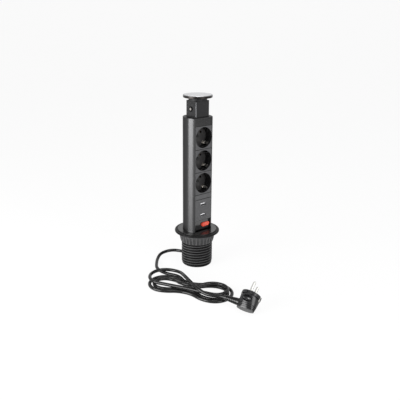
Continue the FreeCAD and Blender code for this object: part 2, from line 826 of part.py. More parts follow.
def make_socket(index):
    name = SOCKETS[index]
    body = face_body(f"socket_{name}_body", socket_level(index))
    plate = new_sketch(body, "XY_Plane", f"bezel_outline_{name}")
    tall = "(socket_pitch - seam_gap) / 2"
    draw_polygon(
        plate,
        [("-plate_half", f"-{tall}"), ("plate_half", f"-{tall}"), ("plate_half", tall), ("-plate_half", tall)],
    )
    pad(body, plate, f"bezel_{name}", "bezel_depth", reverse=True)
    cup = new_sketch(body, "XY_Plane", f"cup_outline_{name}", offset="-bezel_depth")
    draw_circle(cup, "socket_recess_radius + socket_cup_wall")
    cup_depth = "socket_recess_depth + socket_floor - bezel_depth"
    pad(body, cup, f"cup_{name}", cup_depth, reverse=True)
    recess = new_sketch(body, "XY_Plane", f"recess_outline_{name}")
    draw_circle(recess, "socket_recess_radius")
    pocket(body, recess, f"recess_{name}", "socket_recess_depth")
    ribs = new_sketch(body, "XY_Plane", f"rib_outline_{name}", offset="-socket_recess_depth",
                      turn="contact_angle")
    half = "guide_rib_width / 2"
    draw_polygon(
        ribs,
        [
            ("socket_recess_radius - guide_rib_height", f"-{half}"),
            ("socket_recess_radius + 0.4", f"-{half}"),
            ("socket_recess_radius + 0.4", half),
            ("socket_recess_radius - guide_rib_height", half),
        ],
    )
    rib = pad(body, ribs, f"guide_rib_{name}", "socket_recess_depth - 4")
    repeat_round(body, rib, (recess, ["N_Axis"]), f"guide_ribs_{name}", "2")
    holes = new_sketch(body, "XY_Plane", f"hole_outline_{name}", offset="-socket_recess_depth + 1",
                       turn="contact_angle")
    for side in ("", "-"):
        draw_circle(holes, "contact_hole_radius", f"{side}contact_spacing / 2", "0")
    draw_circle(holes, "screw_radius + 0.2")
    pocket(body, holes, f"contact_holes_{name}", "socket_floor + 2")
    slots = new_sketch(body, "XY_Plane", f"slot_outline_{name}", offset="-socket_recess_depth + 0.5",
                       turn="contact_angle + 90")
    half = "clip_slot_width / 2"
    draw_polygon(
        slots,
        [
            ("socket_recess_radius - 3.4", f"-{half}"),
            ("socket_recess_radius - 0.1", f"-{half}"),
            ("socket_recess_radius - 0.1", half),
            ("socket_recess_radius - 3.4", half),
        ],
    )
    slot = pocket(body, slots, f"clip_slot_{name}", "socket_floor + 1")
    repeat_round(body, slot, (recess, ["N_Axis"]), f"clip_slots_{name}", "2")
    return keep(body, f"socket_{name}")


def make_earth_clips(index):
    """One sprung strap: two bowed fingers inside the recess, joined behind its floor."""
    name = SOCKETS[index]
    body = face_body(f"clips_{name}_body", socket_level(index))
    strap = new_sketch(body, "XY_Plane", f"strap_outline_{name}",
                       offset="-(socket_recess_depth + socket_floor + 0.2)", turn="contact_angle + 90")
    half = "clip_width / 2"
    reach = "socket_recess_radius - 0.6"
    draw_polygon(
        strap,
        [(f"-({reach})", f"-{half}"), (reach, f"-{half}"), (reach, half), (f"-({reach})", half)],
    )
    pad(body, strap, f"strap_{name}", "clip_thickness", reverse=True)
    hole = new_sketch(body, "XY_Plane", f"strap_hole_{name}",
                      offset="-(socket_recess_depth + socket_floor)")
    draw_circle(hole, "screw_radius + 0.1")
    pocket(body, hole, f"strap_screw_hole_{name}", "clip_thickness + 1")
    finger = new_sketch(body, "XZ_Plane", f"finger_outline_{name}", turn="contact_angle + 90",
                        turn_axis=Y_AXIS)
    thick = "clip_thickness"
    outer = [
        (f"{reach}", "-(socket_recess_depth + socket_floor + 0.3)"),
        (f"{reach}", "-(socket_recess_depth - 1)"),
        ("socket_recess_radius - 2.2", "-(socket_recess_depth - 8)"),
        (f"{reach} + 0.2", "-5"),
    ]
    inner = [(f"{x} - {thick}", f"{y}") for x, y in reversed(outer)]
    draw_polygon(finger, outer + inner)
    finger_pad = pad(body, finger, f"finger_{name}", "clip_width", midplane=True)
    repeat_round(body, finger_pad, (strap, ["N_Axis"]), f"fingers_{name}", "2")
    return body


def make_all_clips():
    for index, name in enumerate(SOCKETS):
        keep(make_earth_clips(index), f"earth_clips_{name}")


def contact_point(index, sign):
    """The centre of one contact, in the tower's own directions."""
    x = f"{sign}contact_spacing / 2 * cos(contact_angle)"
    z = f"{socket_level(index)} + ({sign}contact_spacing / 2 * sin(contact_angle))"
    return x, z


def make_carrier(index):
    name = SOCKETS[index]
    level = socket_level(index)
    disc = cylinder(f"carrier_disc_{name}", "carrier_radius", "carrier_depth", y="carrier_front", z=level,
                    along=Y_AXIS)
    tools = []
    for sign in ("", "-"):
        x, z = contact_point(index, sign)
        tools.append(cylinder(f"carrier_bore_{name}{len(tools)}", "contact_tube_radius + 0.1",
                              "carrier_depth + 2", x=x, y="carrier_front - 1", z=z, along=Y_AXIS))
    tools.append(cylinder(f"carrier_screw_{name}", "screw_radius + 0.1", "carrier_depth + 2",
                          y="carrier_front - 1", z=level, along=Y_AXIS))
    return keep(cut(f"carrier_{name}", disc, tools), f"contact_carrier_{name}")


def make_bars():
    """Brass bars behind the carriers, each with a contact tube for every socket."""
    rear = "bar_front"
    for sign, label in (("", "live_busbar"), ("-", "neutral_busbar")):
        shapes, bores = [], []
        x, low = contact_point(0, sign)
        _, high = contact_point(2, sign)
        shapes.append(box(f"{label}_strip", f"{x} - bar_width / 2", f"{x} + bar_width / 2", rear,
                          f"{rear} + bar_thickness", f"{low} - bar_width / 2", f"{high} + bar_width / 2"))
        for index, name in enumerate(SOCKETS):
            x, z = contact_point(index, sign)
            shapes.append(cylinder(f"{label}_tube_{name}", "contact_tube_radius",
                                   "carrier_depth + 0.2", x=x, y="carrier_front + 0.3", z=z,
                                   along=Y_AXIS))
            bores.append(cylinder(f"{label}_bore_{name}", "contact_bore_radius", "carrier_depth + 4",
                                  x=x, y="carrier_front - 1", z=z, along=Y_AXIS))
        keep(cut(label + "_cut", fuse(label + "_whole", shapes), bores), label)
    low, high = socket_level(0), socket_level(2)
    bar = box("earth_strip", "-earth_bar_width / 2", "earth_bar_width / 2", rear,
              f"{rear} + bar_thickness", f"{low} - bar_width", f"{high} + bar_width")
    holes = [cylinder(f"earth_hole_{name}", "screw_radius + 0.05", "4", y=f"{rear} - 1",
                      z=socket_level(index), along=Y_AXIS) for index, name in enumerate(SOCKETS)]
    keep(cut("earth_bar_cut", bar, holes), "earth_busbar")
    screws = []
    for index, name in enumerate(SOCKETS):
        level = socket_level(index)
        head = cylinder(f"socket_head_{name}", "screw_head_radius", "1.6", y="-recess_floor - 1.6",
                        z=level, along=Y_AXIS)
        shank = cylinder(f"socket_shank_{name}", "screw_radius - 0.1",
                         "socket_floor + clip_thickness + carrier_depth + 4",
                         y="-recess_floor - 0.2", z=level, along=Y_AXIS)
        screws.append(fuse(f"socket_screw_{name}", [head, shank]))
    group = doc.addObject("Part::Compound", "socket_screw_group")
    group.Links = screws
    keep(group, "socket_screws")


def make_usb():
    plate = bezel("usb_front", "switch_top", "usb_top")
    posts = []
    for index, (x, z) in enumerate((("-15.5", "4"), ("15.5", "4"), ("-15.5", "38"), ("15.5", "38"))):
        posts.append(cylinder(f"usb_post_{index}", "1.8", "usb_depth - 1.6", x=x,
                              y="-bezel_back - 0.5", z=f"switch_top + {z}", along=Y_AXIS))
    whole = fuse("usb_whole", [plate] + posts)
    openings = []
    for name in ("lower", "upper"):
        level = f"switch_top + usb_{name}_level"
        openings.append(box(f"usb_opening_{name}", "-usb_width / 2", "usb_width / 2",
                            "-face_offset - 1", "-bezel_back + 1", f"{level} - usb_opening / 2",
                            f"{level} + usb_opening / 2"))
    keep(cut("usb_plate_cut", whole, openings), "usb_faceplate")
    board_y = "-bezel_back + usb_depth - 2.1"
    for name in ("lower", "upper"):
        level = f"switch_top + usb_{name}_level"
        outer = box(f"usb_shell_{name}", "-usb_width / 2 + 0.1", "usb_width / 2 - 0.1",
                    "-face_offset + 0.8", board_y, f"{level} - usb_opening / 2 + 0.1",
                    f"{level} + usb_opening / 2 - 0.1")
        wall = "usb_shell_wall + 0.1"
        inner = box(f"usb_inner_{name}", f"-usb_width / 2 + {wall}", f"usb_width / 2 - {wall}",
                    "-face_offset", f"{board_y} - 1.5", f"{level} - usb_opening / 2 + {wall}",
                    f"{level} + usb_opening / 2 - {wall}")
        keep(cut(f"usb_port_cut_{name}", outer, [inner]), f"usb_port_{name}")
        tongue = box(f"usb_tongue_{name}", "-5.6", "5.6", "-face_offset + 2", f"{board_y} - 1.5",
                     f"{level} + 0.1", f"{level} + 1.9")
        keep(tongue, f"usb_tongue_{name}")
    board_back = f"{board_y} + board_thickness"
    board = box("usb_board_plate", "-board_width / 2", "board_width / 2", board_y, board_back,
                "switch_top + 1", "usb_top - 1")
    coil = box("usb_transformer", "-transformer_width / 2", "transformer_width / 2",
               f"{board_back} - 0.1", f"{board_back} + transformer_depth",
               "usb_top - 10 - transformer_width", "usb_top - 10")
    can = cylinder("usb_capacitor", "capacitor_radius", "transformer_depth", x="board_width / 2 - 6",
                   y=f"{board_back} - 0.1", z="switch_top + 10", along=Y_AXIS)
    keep(fuse("usb_board_whole", [board, coil, can]), "usb_circuit_board")


# Switch


def pill(name, length, width, y0, y1, x, z):
    """A bar with round ends, lying along X, from one depth to another."""
    half = f"(({length}) - ({width})) / 2"
    middle = box(name + "_middle", f"{x} - {half}", f"{x} + {half}", y0, y1,
                 f"{z} - ({width}) / 2", f"{z} + ({width}) / 2")
    ends = [cylinder(f"{name}_end_{index}", f"({width}) / 2", f"({y1}) - ({y0})",
                     x=f"{x} {side} {half}", y=y0, z=z, along=Y_AXIS)
            for index, side in enumerate(("-", "+"))]
    return fuse(name, [middle] + ends)


TERMINAL_PLACES = ("-terminal_spacing", "0", "terminal_spacing")


def terminal(name, depth, x):
    """One push-on blade at the back of the switch, let into its housing."""
    half = "terminal_width / 2"
    return box(name, f"rocker_x + {x} - {half}", f"rocker_x + {x} + {half}",
               f"-switch_back + {depth} - 0.5", f"-switch_back + {depth} + terminal_length",
               "rocker_level - terminal_thickness / 2", "rocker_level + terminal_thickness / 2")


def make_switch():
    front = bezel("switch_front", "shell_bottom", "switch_top")
    inset = box("switch_inset", "-plate_half", "plate_half", "-bezel_back - 0.5", "-switch_back",
                "shell_bottom + seam_gap / 2", "switch_top - seam_gap / 2")
    whole = fuse("switch_whole", [front, inset])
    recess = box("switch_recess", "-switch_recess_half_width", "switch_recess_half_width",
                 "-face_offset - 1", "-switch_floor", "switch_top - switch_recess_height",
                 "switch_top + 1")
    opening = pill("switch_opening", "rocker_length + 2 * rocker_side_gap",
                   "rocker_width + 2 * rocker_gap", "-face_offset", "-switch_back + 1",
                   "rocker_x", "rocker_level")
    pin_size = ("rocker_pin_radius", "rocker_width + 2.6")
    pin_at = {"x": "rocker_x", "y": "-face_offset + rocker_pin_depth",
              "z": "rocker_level - rocker_width / 2 - 1.3"}
    panel_pin_hole = cylinder("panel_pin_hole", *pin_size, **pin_at)
    keep(cut("switch_cut", whole, [recess, opening, panel_pin_hole]), "switch_panel")
    depth = "switch_housing_depth"
    case = box("housing_block", "rocker_x - rocker_length / 2 - 1.6",
               "rocker_x + rocker_length / 2 + 1.6", "-switch_back", f"-switch_back + {depth}",
               "rocker_level - rocker_width / 2 - 1.6", "rocker_level + rocker_width / 2 + 1.6")
    cavity = pill("housing_cavity", "rocker_length + 2 * rocker_side_gap",
                  "rocker_width + 2 * rocker_gap", "-switch_back - 1", f"-switch_back + {depth} - 3",
                  "rocker_x", "rocker_level")
    pin_hole = cylinder("housing_pin_hole", *pin_size, **pin_at)
    slots = [terminal(f"terminal_slot_{index}", depth, x) for index, x in enumerate(TERMINAL_PLACES)]
    keep(cut("housing_cut", case, [cavity, pin_hole] + slots), "switch_housing")
    group = doc.addObject("Part::Compound", "terminal_group")
    group.Links = [terminal(f"terminal_{index}", depth, x) for index, x in enumerate(TERMINAL_PLACES)]
    keep(group, "switch_terminals")
    keep(cylinder("rocker_pin_body", *pin_size, **pin_at), "rocker_pin")


def make_rocker():
    """The lit rocker: a round-ended bar with a shallow V front, drawn with its left end out."""
    length, width = "rocker_length", "rocker_width"
    blank = pill("rocker_blank", length, width, "-(rocker_depth + 1)", "rocker_depth - 3", "0", "0")
    body = doc.addObject("PartDesign::Body", "rocker_profile_body")
    plan = new_sketch(body, "XY_Plane", "rocker_plan", offset="-10")
    half = f"{length} / 2 + 1"
    draw_polygon(
        plan,
        [
            (f"-({half})", "-(rocker_depth - 0.6)"),
            ("0", "-(rocker_depth - 1.7)"),
            (half, "-(rocker_depth - 0.6)"),
            (half, "2"),
            ("3", "4"),
            ("-3", "4"),
            (f"-({half})", "2"),
        ],
    )
    pad(body, plan, "rocker_slab", "20")
    shaped = common("rocker_shaped", blank, body)
    hole = cylinder("rocker_bore", "rocker_pin_radius + 0.05", "30", z="-15")
    rocker = cut("rocker_cut", shaped, [hole])
    place(rocker, "rocker_x", "-face_offset + rocker_pin_depth", "rocker_level", Z_AXIS, "rocker_tilt")
    return keep(rocker, "rocker")


# Lead, hank and plug


def make_gland():
    """The clamp under the end cap that holds the lead, and its tapered boot."""
    under = "tower_bottom"
    half = "cord_radius + 4"
    block = box("gland_block", f"lead_x - ({half})", f"lead_x + ({half})", "-12", "2",
                "lead_level - cord_radius - 3", under)
    keep(block, "cord_clamp")
    at = {"x": "lead_x", "z": "lead_level", "along": Y_AXIS}
    boot = cone("boot_cone", "boot_root_radius", "boot_end_radius", "boot_length", y="2", **at)
    core = cone("boot_core", "boot_root_radius - relief_ring_depth", "boot_end_radius - relief_ring_depth",
                "boot_length", y="2", **at)
    starts = [f"2 + {index} * relief_ring_spacing" for index in range(1, 6)]
    slabs = [box(f"boot_slab_{index}", "lead_x - 10", "lead_x + 10", start, f"{start} + relief_ring_width",
                 "lead_level - 10", "lead_level + 10") for index, start in enumerate(starts)]
    bore = cylinder("boot_bore", "cord_radius + 0.02", "cord_socket_depth + 1",
                    y="2 + boot_length - cord_socket_depth", **at)
    keep(cut("boot_cut", boot, [ring_grooves("boot_rings", slabs, core), bore]), "lead_boot")


# The cord's layout on the desk: each node is a point and the direction of travel there
FLOOR_LEVEL = size["cord_radius"]
LAP_LEVEL = FLOOR_LEVEL + 6.9
LEAD_NODES = [
    ((-9.0, 26.0, 12.5), (0.0, 1.0, -0.02)),
    ((-43.4, 60.4, 7.0), (-1.0, -0.06, -0.1)),
    ((-69.8, 43.4, 3.4), (-0.48, -0.88, -0.01)),
]
# The hank's frame: its middle, its long direction and its cross direction
HANK_MIDDLE = Vector(-88.0, -80.0, 0.0)
HANK_ALONG = Vector(0.479, -0.878, 0.0).normalize()
HANK_ACROSS = Vector(0.878, 0.479, 0.0).normalize()
FAR_LOBE = -45.0
NEAR_LOBE = 50.0
LEAD_JOIN = 36.6
LAP_STEP = 7.4
FAR_STEP = 8.3
WAIST_STEP = 9.7
NEAR_RADIUS = 30.5
FAR_RADIUS = 27.0
WAIST_HALF = 17.4


def hank_point(along, across, level):
    return HANK_MIDDLE + HANK_ALONG * along + HANK_ACROSS * across + Vector(0, 0, level)


def hank_way(along, across, climb=0.0):
    return (HANK_ALONG * along + HANK_ACROSS * across + Vector(0, 0, climb)).normalize()


def lobe(centre, offset, radius, level, sign):
    """Three nodes round one end of the hank; sign is +1 at the plug's end."""
    return [
        (hank_point(centre, offset + sign * radius, level), hank_way(sign, 0)),
        (hank_point(centre + sign * radius, offset, level), hank_way(0, -sign)),
        (hank_point(centre, offset - sign * radius, level), hank_way(-sign, 0)),
    ]


def hank_nodes():
    """Two turns flat on the desk, spiralling inwards, and one wider turn lying over them."""
    nodes = [(hank_point(FAR_LOBE, LEAD_JOIN, FLOOR_LEVEL), hank_way(1, 0))]
    for turn in range(2):
        near = NEAR_RADIUS - LAP_STEP * turn
        far = FAR_RADIUS - FAR_STEP * turn
        waist = WAIST_HALF - WAIST_STEP * turn
        nodes.append((hank_point(0, waist, FLOOR_LEVEL), hank_way(1, 0)))
        nodes += lobe(NEAR_LOBE, 0, near, FLOOR_LEVEL, 1)
        nodes.append((hank_point(0, -waist, FLOOR_LEVEL), hank_way(-1, 0)))
        nodes += lobe(FAR_LOBE, 0, far, FLOOR_LEVEL, -1)
    nodes.append((hank_point(0, -1.6, LAP_LEVEL), hank_way(1, 0)))
    nodes += lobe(NEAR_LOBE + 2, 2.0, 20.0, LAP_LEVEL, 1)
    nodes.append((hank_point(0, -14.5, LAP_LEVEL), hank_way(-1, 0)))
    nodes += lobe(FAR_LOBE - 5, 13.6, 28.0, LAP_LEVEL, -1)
    return nodes


def tail_nodes():
    """The last run, across the waist and over the near end, between the hank and the plug."""
    return [
        (hank_point(0, 3.5, 17.0), hank_way(0.72, -0.69)),
        (hank_point(25, -18.5, 16.6), hank_way(0.84, -0.52, -0.12)),
        (hank_point(47, -25.8, 12.6), hank_way(0.99, -0.06, -0.04)),
    ]


def biarc(start, start_way, end, end_way):
    """Two tangent arcs that join two points with given directions."""
    gap = end - start
    total = start_way + end_way
    a = 2 * (1 - start_way.dot(end_way))
    b = 2 * gap.dot(total)
    c = -gap.dot(gap)
    if abs(a) < 1e-9:
        if abs(b) < 1e-9:
            return None
        reach = -c / b
    else:
        reach = (-b + math.sqrt(b * b - 4 * a * c)) / (2 * a)
    first = start + start_way * reach
    second = end - end_way * reach
    joint = (first + second) * 0.5
    return first, joint, second


def arc_edge(start, corner, end):
    """The arc that touches start-corner and corner-end at its two ends, or a straight edge."""
    one = (start - corner).normalize()
    two = (end - corner).normalize()
    if one.cross(two).Length < 1e-6:
        return Part.LineSegment(start, end).toShape()
    half = math.acos(max(-1.0, min(1.0, one.dot(two)))) / 2
    radius = (start - corner).Length * math.tan(half)
    middle_way = (one + two).normalize()
    centre = corner + middle_way * math.hypot(radius, (start - corner).Length)
    middle = centre - middle_way * radius
    return Part.Arc(start, middle, end).toShape()


def smooth_edges(nodes):
    edges = []
    for (start, start_way), (end, end_way) in zip(nodes, nodes[1:]):
        first, joint, second = biarc(start, start_way, end, end_way)
        edges.append(arc_edge(start, first, joint))
        edges.append(arc_edge(joint, second, end))
    return edges


def sweep_tube(edges, radius):
    """A round tube along a wire of lines and arcs."""
    wire = Part.Wire(edges)
    start = wire.OrderedVertexes[0].Point
    way = edges[0].tangentAt(edges[0].FirstParameter)
    ring = Part.Wire([Part.Circle(start, way, radius).toShape()])
    return wire, wire.makePipeShell([ring], True, False)


def tube_feature(name, label, edges, radius):
    wire, shape = sweep_tube(edges, radius)
    item = doc.addObject("Part::Feature", name)
    item.Shape = shape
    keep(item, label)
    expected = math.pi * radius ** 2 * wire.Length
    radii = [edge.Curve.Radius for edge in edges if hasattr(edge.Curve, "Radius")]
    print(f"{label}: length {wire.Length:.1f} mm, volume {shape.Volume / expected:.4f} of the sum")
    print(f"{label}: bend radii in mm {[round(value, 1) for value in radii]}")
    return wire


def self_gap(wire, spacing, radius):
    """The least distance between the surfaces of two turns that aren't next to each other."""
    points = wire.discretize(Distance=spacing)
    skip = int(4 * radius / spacing) + 2
    least = 1e9
    for index, point in enumerate(points):
        for other in points[index + skip:]:
            least = min(least, (point - other).Length)
    return least - 2 * radius


def plug_frame():
    """The plug's face centre and its three directions, resting on the lower edge of its back."""
    tilt = math.radians(size["plug_tilt"])
    heading = math.radians(size["plug_heading"])
    flat = Vector(math.cos(heading), math.sin(heading), 0)
    pins = flat * math.cos(tilt) + Z_AXIS * math.sin(tilt)
    lead = Z_AXIS.cross(flat)
    rise = pins.cross(lead)
    height = size["plug_depth"] * math.sin(tilt) + size["plug_back_half_height"] * math.cos(tilt)
    centre = Vector(size["plug_face_x"], size["plug_face_y"], height + 0.02)
    return centre, pins, lead, rise


def plug_placement():
    centre, pins, lead, rise = plug_frame()
    matrix = FreeCAD.Matrix(
        lead.x, rise.x, pins.x, centre.x,
        lead.y, rise.y, pins.y, centre.y,
        lead.z, rise.z, pins.z, centre.z,
        0, 0, 0, 1,
    )
    return Placement(matrix)


def relief_end():
    """Where the cord enters the plug's strain relief, and its direction of travel there."""
    frame = plug_placement()
    reach = size["plug_back_half_width"] + size["plug_relief_length"]
    point = frame.multVec(Vector(reach, 0, -size["plug_exit_depth"]))
    way = frame.Rotation.multVec(Vector(-1, 0, 0))
    return point, way


def make_cord():
    radius = size["cord_radius"]
    inside = size["cord_socket_depth"]
    nodes = hank_nodes()
    lead_nodes = [(Vector(*point), Vector(*way).normalize()) for point, way in LEAD_NODES]
    lead_start, lead_way = lead_nodes[0]
    edges = [Part.LineSegment(lead_start - Y_AXIS * inside, lead_start).toShape()]
    lead_nodes[0] = (lead_start, Y_AXIS)
    joined = (nodes[0][0] - nodes[0][1] * 2 * radius, nodes[0][1])
    lead = tube_feature("lead_tube", "cord_lead", edges + smooth_edges(lead_nodes + [joined]), radius)
    start, start_way = nodes[0]
    end, end_way = nodes[-1]
    straight = 2 * radius
    edges = [Part.LineSegment(start - start_way * straight, start).toShape()] + smooth_edges(nodes)
    edges.append(Part.LineSegment(end, end + end_way * straight).toShape())
    hank = tube_feature("hank_tube", "cord_hank", edges, radius)
    print(f"cord_hank: least gap to itself {self_gap(hank, 1.5, radius):.2f} mm")
    plug_point, plug_way = relief_end()
    left = (end + end_way * straight, end_way)
    edges = smooth_edges([left] + tail_nodes() + [(plug_point, plug_way)])
    edges.append(Part.LineSegment(plug_point, plug_point + plug_way * inside).toShape())
    tail = tube_feature("tail_tube", "cord_tail", edges, radius)
    print(f"cord in all {lead.Length + hank.Length + tail.Length:.0f} mm")


def section_circle(name, radius, level):
    item = doc.addObject("Part::Circle", name)
    bind(item, "Radius", radius)
    return place(item, z=level)


def section_ellipse(name, major, minor, level):
    item = doc.addObject("Part::Ellipse", name)
    bind(item, "MajorRadius", major)
    bind(item, "MinorRadius", minor)
    return place(item, z=level)


def plug_blank(name, inset):
    """The plug's moulding behind its disc, from round to a narrow oval, drawn in by an inset."""
    loft = doc.addObject("Part::Loft", name)
    loft.Sections = [
        section_circle(name + "_front", f"plug_disc_radius - plug_step - {inset}", "-plug_disc_depth + 0.5"),
        section_ellipse(name + "_middle", f"plug_disc_radius - plug_step - 0.1 - {inset}",
                        f"plug_back_half_height + plug_belly - {inset}",
                        "-(plug_disc_depth + plug_depth) / 2"),
        section_ellipse(name + "_back", f"plug_back_half_width - {inset}",
                        f"plug_back_half_height - {inset}", "-plug_depth"),
    ]
    loft.Solid = True
    loft.Ruled = False
    return loft


def finger_hollow(name, side):
    """A rounded hollow for a fingertip in one long side of the plug."""
    item = doc.addObject("Part::Ellipsoid", name)
    bind(item, "Radius1", "hollow_half_height")
    bind(item, "Radius2", "hollow_half_length")
    bind(item, "Radius3", "hollow_depth")
    return place(item, x="-1.5", y=f"{side}(plug_disc_radius - plug_step - 0.9)",
                 z="-(plug_disc_depth + plug_groove_width + hollow_half_height)")


def make_plug():
    """An angled mains plug: drawn with its face at z = 0 and its pins along +Z, then laid down."""
    disc = cylinder("plug_disc", "plug_disc_radius", "plug_disc_depth - plug_edge", z="-plug_disc_depth")
    edge = cone("plug_face_edge", "plug_disc_radius", "plug_disc_radius - plug_edge", "plug_edge",
                z="-plug_edge")
    blank = plug_blank("plug_loft", "0")
    slabs = [box("plug_groove_slab", "-40", "40", "-40", "40", "-(plug_disc_depth + plug_groove_width)",
                 "-plug_disc_depth")]
    for index in range(3):
        low = f"-(plug_depth - {index + 0.7} * plug_ring_spacing)"
        slabs.append(box(f"plug_ring_slab_{index}", "-40", "40", "-40", "40", low, f"{low} + plug_ring_width"))
    rings = ring_grooves("plug_rings", slabs, plug_blank("plug_core", "plug_groove_depth"))
    hollows = [finger_hollow(f"finger_hollow_{index}", side) for index, side in enumerate(("", "-"))]
    notches = []
    strips = []
    for index, side in enumerate(("", "-")):
        floor = f"{side}(plug_disc_radius - plug_notch_depth)"
        rim = f"{side}(plug_disc_radius + 1)"
        front = f"{side}(plug_disc_radius - plug_notch_depth + plug_strip_thickness)"
        x0, x1 = (floor, rim) if side == "" else (rim, floor)
        notches.append(box(f"strip_notch_{index}", x0, x1, "-plug_strip_width / 2 - 0.3",
                           "plug_strip_width / 2 + 0.3", "-plug_strip_length - 0.5", "1"))
        notches.append(box(f"guide_notch_{index}", "-guide_rib_width / 2 - 0.3",
                           "guide_rib_width / 2 + 0.3", x0, x1, "-plug_disc_depth", "1"))
        x0, x1 = (floor, front) if side == "" else (front, floor)
        strips.append(box(f"plug_strip_{index}", x0, x1, "-plug_strip_width / 2",
                          "plug_strip_width / 2", "-plug_strip_length", "-0.5"))
    earth_hole = cylinder("plug_earth_hole", "contact_hole_radius", "plug_depth / 2", x="-contact_spacing / 2",
                          z="-plug_depth / 2 + 1")
    ringed = cut("plug_ringed", fuse("plug_solid", [disc, edge, blank]), [rings])
    gripped = cut("plug_gripped", ringed, hollows)
    body = cut("plug_body_cut", gripped, notches + [earth_hole])
    body.Placement = plug_placement()
    keep(body, "plug_body")
    strip_group = doc.addObject("Part::Compound", "plug_strip_group")
    strip_group.Links = strips
    strip_group.Placement = plug_placement()
    keep(strip_group, "plug_earth_strips")
    pins = []
    for index, side in enumerate(("", "-")):
        shank = cylinder(f"pin_shank_{index}", "plug_pin_radius", "plug_pin_length - 1.5",
                         y=f"{side}contact_spacing / 2")
        tip = cone(f"pin_tip_{index}", "plug_pin_radius", "plug_pin_radius - 1.2", "1.5",
                   y=f"{side}contact_spacing / 2", z="plug_pin_length - 1.5")
        pins.append(fuse(f"plug_pin_{index}", [shank, tip]))
    group = doc.addObject("Part::Compound", "plug_pin_group")
    group.Links = pins
    group.Placement = plug_placement()
    keep(group, "plug_pins")
    make_plug_relief(blank)


def make_plug_relief(blank):
    """The tapered sleeve with rings where the cord leaves the plug."""
    at = {"z": "-plug_exit_depth", "along": X_AXIS}
    relief = cone("relief_cone", "plug_relief_root", "cord_radius + 0.9", "plug_relief_length",
                  x="plug_back_half_width", **at)
    root = cylinder("relief_root", "plug_relief_root", "5", x="plug_back_half_width - 5 + 0.01", **at)
    whole = fuse("relief_whole", [relief, root])
    core = cone("relief_core", "plug_relief_root - relief_ring_depth",
                "cord_radius + 0.9 - relief_ring_depth", "plug_relief_length", x="plug_back_half_width", **at)
    starts = [f"plug_back_half_width + {index} * relief_ring_spacing" for index in range(1, 7)]
    slabs = [box(f"relief_slab_{index}", start, f"{start} + relief_ring_width", "-10", "10",
                 "-plug_exit_depth - 10", "-plug_exit_depth + 10") for index, start in enumerate(starts)]
    bore = cylinder("relief_bore", "cord_radius + 0.02", "cord_socket_depth + 1",
                    x="plug_back_half_width + plug_relief_length - cord_socket_depth", **at)
    trimmed = cut("relief_cut", whole, [blank, ring_grooves("relief_rings", slabs, core), bore])
    trimmed.Placement = plug_placement()
    keep(trimmed, "plug_strain_relief")


make_sleeve()
make_collar()
make_ring("gasket", "flange_gasket", "nut_bore", "flange_radius - gasket_setback",
          "gasket_bottom", "gasket_thickness")
make_ring("washer", "clamp_washer", "nut_bore", "washer_radius", "washer_bottom", "washer_thickness")
make_nut()
make_shell()
make_foot()
make_foot_screws()
make_top_cap()
make_neck()
make_release_button()
make_lid()
make_plates()
for number in range(len(SOCKETS)):
    make_socket(number)
    make_carrier(number)
make_all_clips()
make_bars()
make_usb()
make_switch()
make_rocker()
make_gland()
make_plug()
doc.recompute()
make_cord()
doc.recompute()

# Check every object before anything is written
faults = [item.Name for item in doc.Objects if "Invalid" in item.State or "Error" in item.State]
if faults:
    raise RuntimeError(f"objects that failed: {faults}")
for item in kept:
    if item.Shape.isNull() or not item.Shape.isValid() or not item.Shape.Solids:
        raise RuntimeError(f"bad shape: {item.Label}")

os.makedirs("parts", exist_ok=True)
for item in kept:
    item.Shape.exportStep(f"parts/{item.Label}.step")
print(len(kept), "pieces written")
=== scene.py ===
import math

import bmesh
import bpy
from mathutils import Matrix, Vector


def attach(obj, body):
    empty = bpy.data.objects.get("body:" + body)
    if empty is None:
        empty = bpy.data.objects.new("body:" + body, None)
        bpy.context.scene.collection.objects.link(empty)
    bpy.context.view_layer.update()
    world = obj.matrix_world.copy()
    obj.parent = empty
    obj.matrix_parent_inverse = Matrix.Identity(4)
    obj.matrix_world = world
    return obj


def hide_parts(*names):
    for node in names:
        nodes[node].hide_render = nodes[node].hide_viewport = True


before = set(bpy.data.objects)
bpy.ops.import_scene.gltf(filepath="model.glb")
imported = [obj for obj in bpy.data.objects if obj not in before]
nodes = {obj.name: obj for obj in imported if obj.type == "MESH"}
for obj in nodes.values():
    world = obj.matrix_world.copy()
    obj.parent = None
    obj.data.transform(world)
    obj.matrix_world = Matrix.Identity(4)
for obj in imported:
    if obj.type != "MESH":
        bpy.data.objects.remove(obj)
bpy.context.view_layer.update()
scene = bpy.context.scene
MM = 0.001


# Camera, at the photograph's own angle

CAMERA_PLACE = (-0.6351, -0.7505, 0.4617)
CAMERA_HEADING = math.radians(-40.2)
CAMERA_PITCH = math.radians(-18.77)
CAMERA_ROLL = math.radians(0.35)
CAMERA_SENSOR = 36.0
CAMERA_LENS = 49.08
CAMERA_SHIFT = 0.008
CAMERA_NEAREST = 0.01
CAMERA_FARTHEST = 60.0


def make_camera():
    data = bpy.data.cameras.new("photo_camera")
    data.sensor_fit = "HORIZONTAL"
    data.sensor_width = CAMERA_SENSOR
    data.lens = CAMERA_LENS
    data.shift_x = CAMERA_SHIFT
    data.dof.use_dof = False
    data.clip_start = CAMERA_NEAREST
    data.clip_end = CAMERA_FARTHEST
    camera = bpy.data.objects.new("photo_camera", data)
    scene.collection.objects.link(camera)
    turn = Matrix.Rotation(CAMERA_HEADING, 4, "Z") @ Matrix.Rotation(math.pi / 2 + CAMERA_PITCH, 4, "X")
    camera.matrix_world = Matrix.Translation(CAMERA_PLACE) @ turn @ Matrix.Rotation(CAMERA_ROLL, 4, "Z")
    scene.camera = camera


# Shader building blocks

NOISE_LOW = 0.3
NOISE_HIGH = 0.7


def principled(material):
    return material.node_tree.nodes["Principled BSDF"]


